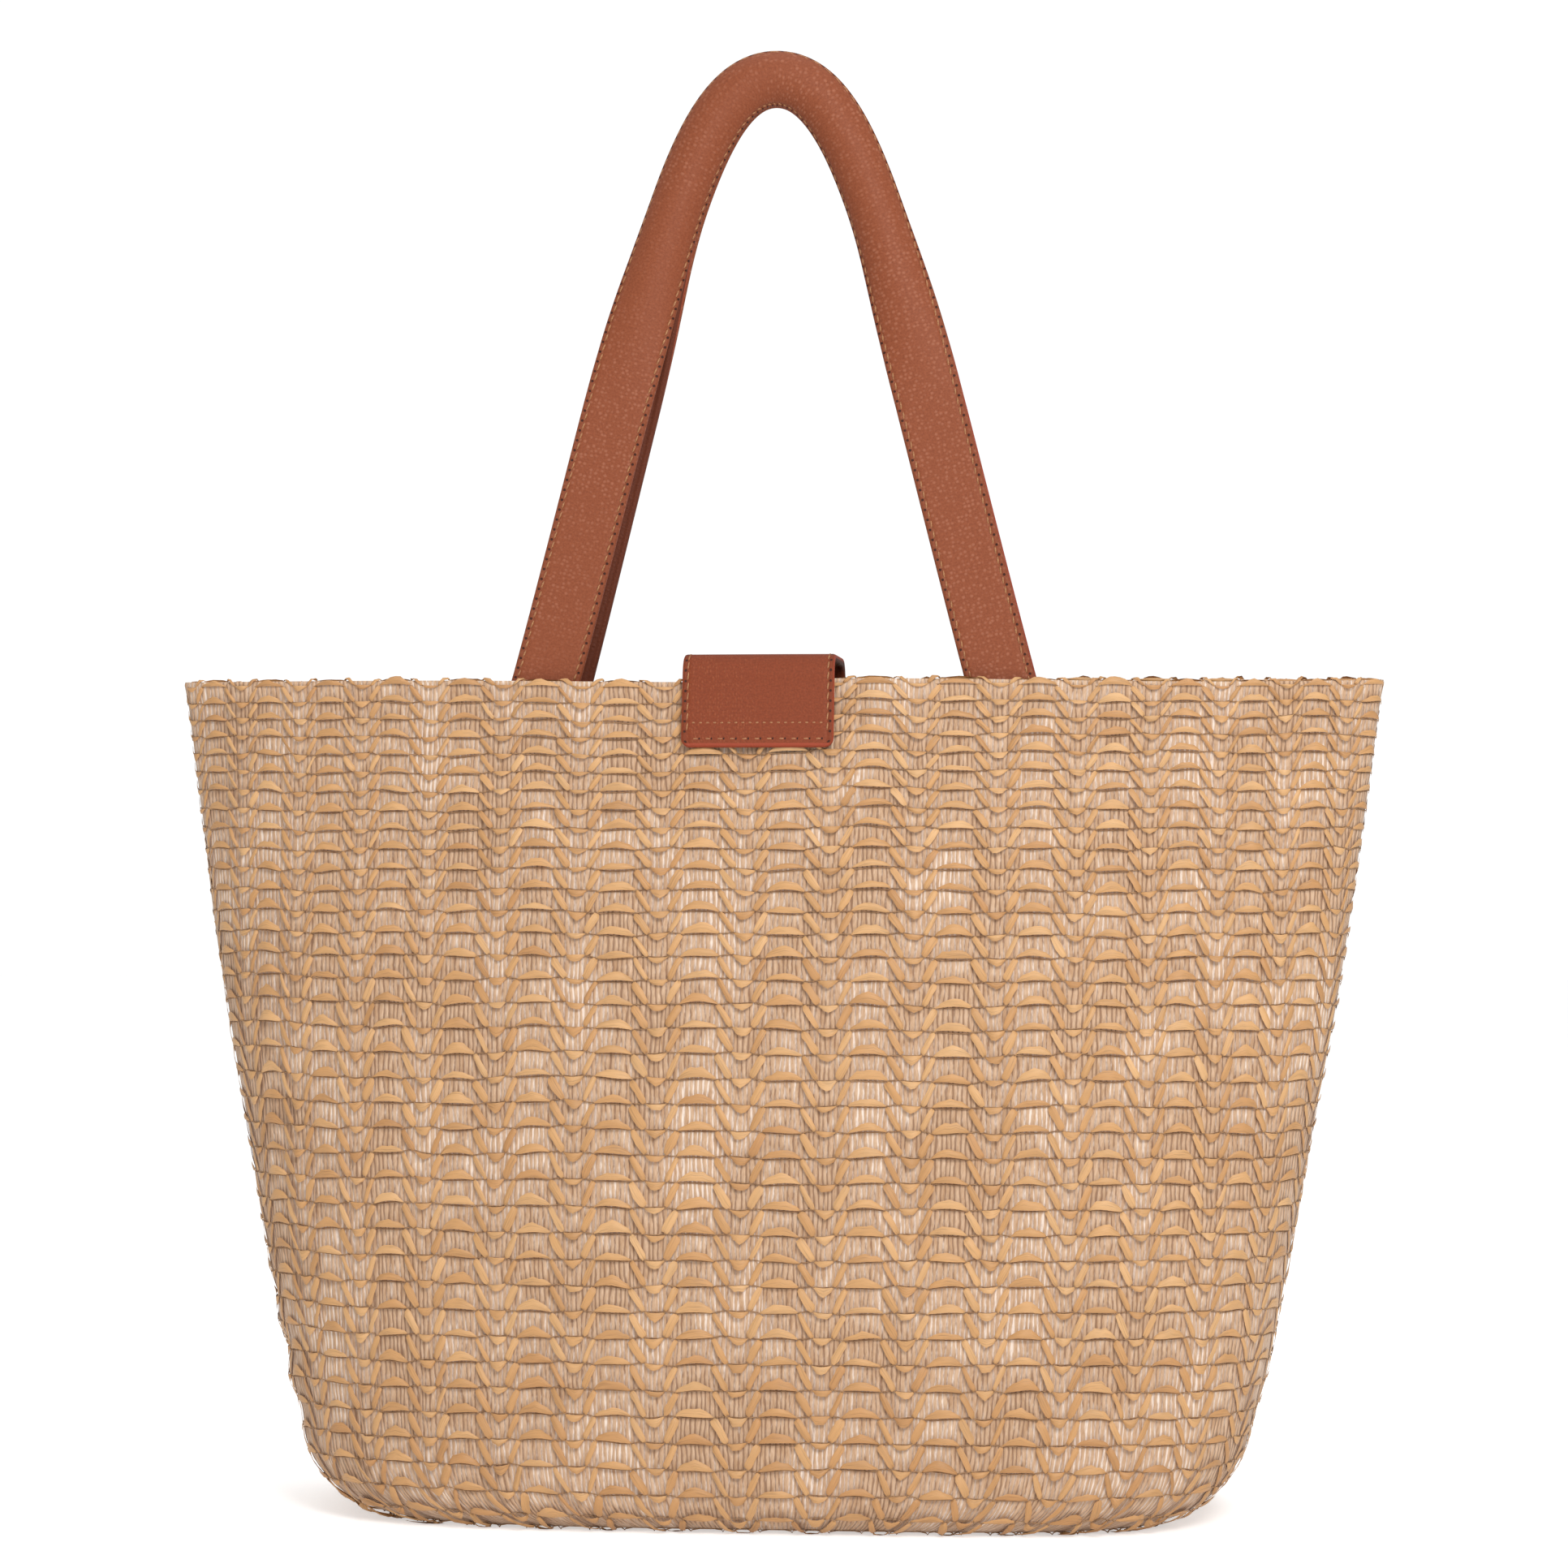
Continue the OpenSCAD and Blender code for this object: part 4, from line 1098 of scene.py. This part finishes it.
# %% Handles
# the length given to the finish is past the real one, because only the near end of a strap has paint on it
strap_leather = pebbled_leather("pebbled_cow_leather_strap", face="#904E31", light="#B87C62", dark="#7A3D24",
                                edge="#9A452F", back="#4A2015", half_width=STRAP_HALF_W / MM,
                                thickness=STRAP_T / MM, bead=0.5,
                                length=700.0, grain=(1.0, 1.0), creases=(0.6, 0.9, 0.12))
strap_surface_curl = APEX_CURL * ease * ease * (3 - 2 * ease)
tangent = np.gradient(path, axis=0)
tangent /= np.linalg.norm(tangent, axis=1, keepdims=True)
inside = np.cross(tangent, [0, -1.0, 0])             # towards the inside of the loop
handle_strip = Strip(path, inside, strap_surface_curl, STRAP_HALF_W, STRAP_T)
print("a strap is", round(handle_strip.length, 3), "m long")


def both_lines(length, half, slant):
    """Stitches along both edges of a strip."""
    rows = []
    for number in range(1, int(length / STITCH_PITCH) - 1):
        start, end = (number + 0.5) * STITCH_PITCH + 0.35, (number + 1.5) * STITCH_PITCH - 0.35
        for way in (-1, 1):
            line = way * (half - GROOVE)
            rows.append((start, line - slant, end, line + slant))
    return rows


def turned(piece):
    """Turns a finished piece half way round Z, for the far side of the bag."""
    piece.data.transform(Matrix.Rotation(math.pi, 4, "Z"))


STRAP_BEND_Y = 21 * MM               # the hinge that a strap bends round, from the middle of the mouth
STRAP_BEND_HALF = 7.8 * MM           # the leather bends from this far below it to this far above
for side, way in (("back", -1), ("front", 1)):
    strap = leather_piece(side + "_handle_strap", handle_strip, strap_leather, 1.8 * MM,
                          corner=3 * MM)
    rows = both_lines(handle_strip.length / MM, STRAP_HALF_W / MM, 0.22)
    seam = stitches(side + "_handle_stitches", handle_strip, rows, sewing_thread)
    axis_y = way * STRAP_BEND_Y
    low, high = (0, axis_y, HINGE_Z - STRAP_BEND_HALF), (0, axis_y, HINGE_Z + STRAP_BEND_HALF)
    for piece in (strap, seam):
        if side == "front":
            turned(piece)
        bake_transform(piece)
    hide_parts(side + "_strap_face_loop", side + "_strap_backing_loop", side + "_strap_face_ends",
                side + "_strap_backing_ends")

# %% [markdown]
# ## The closing tab
# The tab is sewn to the back, crosses the mouth and snaps to the front. It bends at two places, where the
# back panel's rim and the front panel's rim are, so it is made as two lengths that meet over the middle
# of the mouth, and each length bends at its own rim.

# %% The path of the tab
TAB_HALF_W = 28 * MM
TAB_T = 3 * MM
TAB_X = -4 * MM                      # sewn a little to the left of the middle
TAB_Y = RIM_HALF_D + 0.2 * MM
BEND_R = 6 * MM                      # inner radius of the leather over each rim
BEND_Z = HEIGHT + 1 * MM             # where it begins to bend
SNAP_Z = 264 * MM                    # height of the snap
SNAP_STAND = 3.7 * MM                # its closed thickness, which holds the leather off the panel
ABOVE_SNAP = 16 * MM                 # straight leather above the middle of the snap
BELOW_SNAP = 15 * MM                 # and below it
SEWN_DROP = 25 * MM                  # how far down the back the tab is sewn


def lean_at(z):
    """How far the middle of a panel leans out at height z."""
    return math.atan((half_d(z - MM) - half_d(z + MM)) / (2 * MM))


quarter = np.radians(np.linspace(0, 90, 13))[:, None]
snap_out = np.array([math.cos(lean_at(SNAP_Z)), math.sin(lean_at(SNAP_Z))])
snap_down = np.array([snap_out[1], -snap_out[0]])
snap_seat = np.array([half_d(SNAP_Z), SNAP_Z]) + snap_out * SNAP_STAND
sewn_low = HEIGHT - SEWN_DROP
sewn = np.array([[-half_d(sewn_low) - 0.2 * MM, sewn_low], [-TAB_Y, HEIGHT], [-TAB_Y, BEND_Z]])
over = np.concatenate([
    np.concatenate([-TAB_Y + BEND_R * (1 - np.cos(quarter)), BEND_Z + BEND_R * np.sin(quarter)], 1),
    np.concatenate([TAB_Y - BEND_R * (1 - np.cos(quarter)), BEND_Z + BEND_R * np.sin(quarter)], 1)[::-1]])
hanging = np.array([snap_seat - snap_down * ABOVE_SNAP, snap_seat + snap_down * BELOW_SNAP])
inner = np.concatenate([sewn, over[1:], hanging])
walked = np.concatenate([[0], np.cumsum(np.hypot(*np.diff(inner, axis=0).T))])
even = np.linspace(0, walked[-1], 240)
inner = np.stack([np.interp(even, walked, inner[:, 0]), np.interp(even, walked, inner[:, 1])], 1)
for _ in range(8):
    inner[1:-1] = inner[1:-1] * 0.5 + (inner[2:] + inner[:-2]) * 0.25
way = np.gradient(inner, axis=0)
way /= np.linalg.norm(way, axis=1, keepdims=True)
middle_line = inner + np.stack([-way[:, 1], way[:, 0]], 1) * TAB_T / 2
tab_strip = Strip(np.column_stack([np.full(len(inner), TAB_X), middle_line]), np.array([1.0, 0, 0]), 0,
                  TAB_HALF_W, TAB_T)
MID_TAB = float(np.interp(0, middle_line[:, 0], tab_strip.walked))
print("the tab is", round(tab_strip.length / MM), "mm long and crosses the middle at", round(MID_TAB / MM))

# %% Tab, its stitches and the painted shade in its needle holes
tab_leather = pebbled_leather("pebbled_cow_leather_tab", face="#8A4023", light="#A05A38", dark="#71321A",
                              edge="#98432D", back="#4A2015", half_width=TAB_HALF_W / MM,
                              thickness=TAB_T / MM, bead=1.5,
                              length=tab_strip.length / MM, grain=(1.0, 1.6), creases=(1.0, 1.5, 0.3))
# painted shade inside the needle holes: nearly black and without shine
needle_hole_shade, _, _ = material("needle_hole_painted_shade", **{"Roughness": 0.9, "Base Color": colour("#2C130B")})
FIRST_ROW, SECOND_ROW, HOLE_PITCH = 3.0, 9.0, 4.5      # mm from the end, and from hole to hole


def tab_seams(low, high):
    """Stitches along both sides of the tab, between two places in mm along it."""
    rows = both_lines(tab_strip.length / MM, TAB_HALF_W / MM, 0.18)
    return [row for row in rows if low + 1 < row[0] and row[2] < high - 1]


def across_rows(from_end, pitch, length, end):
    """Stitches in a row across the tab, at mm from its sewn end when end is 0 and from its snap when 1."""
    count = int((2 * TAB_HALF_W / MM - 6) / pitch)
    start = -count * pitch / 2
    u = from_end if end == 0 else tab_strip.length / MM - from_end
    middles = [start + (number + 0.5) * pitch for number in range(count)]
    return [(u, middle - length / 2, u, middle + length / 2) for middle in middles]


# for each length: its name, start and end along the path, which of its ends are finished, which end of the
# tab it holds, the bodies it bends between, where across the mouth, and which way it runs over the bend
halves = (
    ("tab_root", 0.0, MID_TAB, (True, False), 0, ("bag", "tab_bridge"), -27.8 * MM, 1),
    ("tab_flap", MID_TAB, tab_strip.length, (False, True), 1, ("tab_bridge", "tab_end"), 27.8 * MM, -1),
)
for name, low, high, ends, end, bodies, axis_y, up in halves:
    leather = leather_piece(name, tab_strip, tab_leather, 1.0 * MM, corner=3.5 * MM,
                            ends=ends, start=low, stop=high)
    long_row = across_rows(FIRST_ROW, HOLE_PITCH, 2.6, end)
    rows = tab_seams(low / MM, high / MM) + across_rows(SECOND_ROW, 2.6, 1.7, end) + long_row
    seam = stitches(name + "_stitches", tab_strip, rows, sewing_thread, radius=0.34)
    # dark tubes of painted shade where the needle holes of the long row are
    shift = HOLE_PITCH / 2
    spots = [(u, a + shift - 0.1, v, b + shift - 1.7) for u, a, v, b in long_row]
    holes = stitches(name + "_needle_hole_shade_marks", tab_strip, spots, needle_hole_shade, radius=0.62,
                     height=-0.22)
    for piece in (leather, seam, holes):
        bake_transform(piece)
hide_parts("tab_sewn_face", "tab_sewn_backing", "tab_bridge_face", "tab_bridge_backing")
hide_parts("tab_end_face", "tab_end_backing")

# %% [markdown]
# ## Inside the bag
# The lining is a loose cotton bag of the same shape, sewn to a folded band at the mouth. It carries a zip
# pocket on the back wall and a slip pocket on the front one. All of it is light cloth, so it ripples a
# little between its seams.

# %% Cotton cloth
def cotton(name, thread_tone, gap_tone, pitch):
    """Plain woven cotton. To the eye it is pale and matt, with a faint check where threads pass over each
    other. Its threads are too fine to show, so the weave is drawn at the given pitch in mm."""
    made, tree, shader = material(name, **{"Roughness": 0.9, "Sheen Weight": 0.2})
    place = add(tree, "UVMap", uv_map="cloth_mm")
    parts = add(tree, "SeparateXYZ", {0: place})
    warp = add(tree, "Math", {0: parts, 1: 2 * math.pi / pitch}, operation="MULTIPLY")
    warp = add(tree, "Math", {0: warp}, operation="SINE")
    weft = add(tree, "Math", {0: parts.node.outputs[1], 1: 2 * math.pi / pitch}, operation="MULTIPLY")
    weft = add(tree, "Math", {0: weft}, operation="SINE")
    weave = add(tree, "Math", {0: warp, 1: weft}, operation="MULTIPLY")
    base = add(tree, "ValToRGB", {0: weave}, stops=((0.0, colour(gap_tone)), (0.5, colour(thread_tone))))
    cloud = add(tree, "TexNoise", {"Vector": place, "Scale": 0.05, "Detail": 4.0})
    handling = add(tree, "ValToRGB", {0: cloud}, stops=((0.3, 0.9), (0.7, 1.0)))
    base = add(tree, "Mix", {0: 1.0, 6: base, 7: handling}, blend_type="MULTIPLY", **TWO_COLOURS)
    tree.links.new(base, shader.inputs["Base Color"])
    bump = add(tree, "Bump", {"Height": weave, "Strength": 0.25, "Distance": 0.15 * MM})
    tree.links.new(bump, shader.inputs["Normal"])
    return made


lining_cotton = cotton("plain_woven_cotton_lining", "#EADFD0", "#D9CBB8", 0.9)
facing_cotton = cotton("cotton_canvas_facing", "#DCCBB4", "#C4B092", 1.2)
tape_cotton = cotton("woven_zip_tape", "#C8B08C", "#AD9470", 0.8)
print("finishes:", lining_cotton.name, facing_cotton.name, tape_cotton.name)

# %% Lining and facing
def thicken(mesh, thickness):
    """Turns a sheet into a closed cloth of that thickness."""
    bm = bmesh.new()
    bm.from_mesh(mesh)
    bmesh.ops.remove_doubles(bm, verts=bm.verts, dist=1e-6)
    bmesh.ops.recalc_face_normals(bm, faces=bm.faces)
    bmesh.ops.solidify(bm, geom=bm.faces, thickness=thickness)
    bmesh.ops.recalc_face_normals(bm, faces=bm.faces)
    bm.to_mesh(mesh)
    bm.free()


def inner_cloth(name, top, bottom, inset, thickness, ripple, surface, floor_z=None, seed=0):
    """Cloth that follows the inside of the bag, from top to bottom in mm down the wall, inset mm inside it.
    With a floor height it also closes across the base."""
    columns, wall_lanes, floor_lanes = 241, 70, 16 if floor_z else 0
    mesh, station, lane, _ = strips(name, 1, columns, wall_lanes + floor_lanes)
    share = station / (columns - 1)
    depth = top + (bottom - top) * np.minimum(lane / (wall_lanes - 1), 1)
    # the noise is read round a circle of 160 mm, so that it meets itself, and fades out at the upper seam
    end_calm = np.clip((depth - top) / 30, 0, 1)
    round_u = np.cos(share * 2 * math.pi) * 160
    sway = waves(round_u, np.sin(share * 2 * math.pi) * 160 + depth, (70.0, 34.0), seed) * ripple * end_calm
    places = on_bag(share, depth * MM, (-inset + np.minimum(sway, 0)) * MM)
    if floor_z:
        inward = np.clip((lane - wall_lanes + 1) / floor_lanes, 0, 1)
        places[:, 2] = np.maximum(places[:, 2], floor_z)
        places[:, :2] *= (1 - inward)[:, None]
        rumple = np.abs(waves(places[:, 0] / MM, places[:, 1] / MM, (60.0,), seed + 1))
        places[:, 2] += 0.5 * MM * rumple * (inward > 0)
    shape(mesh, places)
    lay_uv(mesh, share * RIM_GIRTH / MM, depth + (lane - np.minimum(lane, wall_lanes - 1)) * 4.0)
    thicken(mesh, thickness)
    return finish_piece(name, mesh, "bag", surface)


facing = inner_cloth("mouth_facing_band", 2.6, 31, 3.7, 0.8 * MM, 0.0, facing_cotton, seed=31)
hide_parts("mouth_facing")
lining = inner_cloth("cotton_lining", 30.0, DROP / MM, 4.3, 0.4 * MM, 0.5, lining_cotton,
                     5.8 * MM, 33)
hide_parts("lining")

# %% Bindings over the side seams
mesh, station, lane, line = strips("side_seam_binding", 2, 91, 9)
binding_top, binding_low = 36 * MM, DROP - 34 * MM
# 13 mm wide, a quarter and three quarters of the way round
share = 0.25 + 0.5 * line + (lane / 8 - 0.5) * 13 * MM / RIM_GIRTH
depth = binding_top + (binding_low - binding_top) * station / 90
shape(mesh, on_bag(share, depth, np.full(len(share), -2.75 * MM)))
lay_uv(mesh, share * RIM_GIRTH / MM, depth / MM)
thicken(mesh, 0.5 * MM)
binding = finish_piece("side_seam_binding", mesh, "bag", facing_cotton)
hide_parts("side_seam_bindings")

# %% [markdown]
# ## Pockets
# A pocket is a flat piece of lining cloth sewn on at its edges, so its middle hangs away from the wall by
# a little. The zip pocket has two tapes above its cloth with the teeth between them, and the slip pocket
# has its top folded over as a hem. Each is a grid set against the lean of its wall, then thickened.

# %% Pockets and zip tapes
def pocket_cloth(name, wall_z, stand, way, x, y, z, puff, thickness, surface, seed):
    """A flat piece of cloth sewn inside. way is -1 on the back wall and 1 on the front. x and y give its ends
    across and up the wall from wall_z, z is out towards the wall, and puff lets its middle hang inwards."""
    lean = lean_at(wall_z)
    seat = np.array([0, way * (half_d(wall_z) - stand), wall_z])
    up = np.array([0, -way * math.sin(lean), math.cos(lean)])
    out = np.array([0, way * math.cos(lean), math.sin(lean)])
    mesh, station, lane, _ = strips(name, 1, 61, 31)
    a, b = station / 60, lane / 30
    px, py = (x[0] + (x[1] - x[0]) * a) * MM, (y[0] + (y[1] - y[0]) * b) * MM
    free = np.clip(4 * a * (1 - a) * 1.6, 0, 1) * np.clip(4 * b * (1 - b) * 1.4, 0, 1)
    hang = puff * free * (0.7 + 0.3 * waves(px / MM, py / MM, (45.0, 25.0), seed))
    pz = (z - hang) * MM
    places = seat + px[:, None] * [1, 0, 0] + py[:, None] * up + pz[:, None] * out
    shape(mesh, places)
    lay_uv(mesh, px / MM, py / MM)
    thicken(mesh, thickness)
    return finish_piece(name, mesh, "bag", surface)


ZIP_Z, SLIP_Z = 216 * MM, 200 * MM
ZIP_STAND, SLIP_STAND = 8.4 * MM, 8.2 * MM
zip_pocket = pocket_cloth("zip_pocket_cloth", ZIP_Z, ZIP_STAND, -1, (-85, 85), (-104, -5.5), -0.4, 0.9,
                          0.5 * MM, lining_cotton, 41)
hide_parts("zip_pocket_panel")
for part, low, high in (("upper", 2.1, 13), ("lower", -13, -2.1)):
    tape = pocket_cloth(part + "_zip_tape", ZIP_Z, ZIP_STAND, -1, (-82, 82), (low, high), 0.35, 0.0,
                        0.45 * MM, tape_cotton, 43)
    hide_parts("zip_tape_" + part)
slip = pocket_cloth("slip_pocket_cloth", SLIP_Z, SLIP_STAND, 1, (-75, 75), (-108, -14), -0.4, 0.8, 0.5 * MM,
                    lining_cotton, 45)
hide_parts("slip_pocket")
hem = pocket_cloth("slip_pocket_folded_hem", SLIP_Z, SLIP_STAND, 1, (-75, 75), (-14, 0), -0.5, 0.4, 1.0 * MM,
                   facing_cotton, 47)
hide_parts("slip_pocket_hem")

# %% [markdown]
# ## Metal and board
# The snap, the zip's teeth, stops, slider and pull are small parts of steel with a thin coat of brass: warm,
# with a soft and slightly uneven shine where hands have rubbed them. The base board is grey pressed fibre.
# Their shapes are already right in the working model, so they only need a finish.

# %% Finishes for the working model's own pieces
def brass_plate():
    """Steel, brass-plated and tumbled. To the eye it is pale gold with a shine that blurs more in some
    places than in others, in clouds about 4 mm across."""
    made, tree, shader = material("brass_plated_steel", **{"Metallic": 1.0})
    place = add(tree, "TexCoord", out="Object")
    cloud = add(tree, "TexNoise", {"Vector": place, "Scale": 260.0, "Detail": 4.0})
    gold = add(tree, "ValToRGB", {0: cloud}, stops=((0.3, colour("#B08D4C")), (0.7, colour("#D9BC7C"))))
    blur = add(tree, "ValToRGB", {0: cloud}, stops=((0.3, 0.24), (0.7, 0.4)))
    tree.links.new(gold, shader.inputs["Base Color"])
    tree.links.new(blur, shader.inputs["Roughness"])
    return made


def pressed_fibre():
    """Waste paper pulp, pressed into board. To the eye it is grey, dull and mottled, in specks of about
    1.5 mm, which is coarser than the fibres are, so that they show."""
    made, tree, shader = material("pressed_fibreboard", **{"Roughness": 0.85})
    place = add(tree, "TexCoord", out="Object")
    fibre = add(tree, "TexNoise", {"Vector": place, "Scale": 700.0, "Detail": 6.0})
    specks = add(tree, "ValToRGB", {0: fibre}, stops=((0.3, colour("#55504A")), (0.7, colour("#77716A"))))
    tree.links.new(specks, shader.inputs["Base Color"])
    return made


def repaint(surface, *nodes):
    """Gives a finish to pieces of the working model, without touching their shape."""
    for node in nodes:
        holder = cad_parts[node]
        for number in range(len(holder.material_slots)):
            holder.material_slots[number].material = surface


repaint(brass_plate(), "snap_stud", "snap_stud_washer", "snap_socket", "snap_socket_washer", "zip_teeth",
        "zip_end_stops", "zip_slider", "zip_pull")
repaint(pressed_fibre(), "base_board")
print("finishes given to the working model's own pieces")
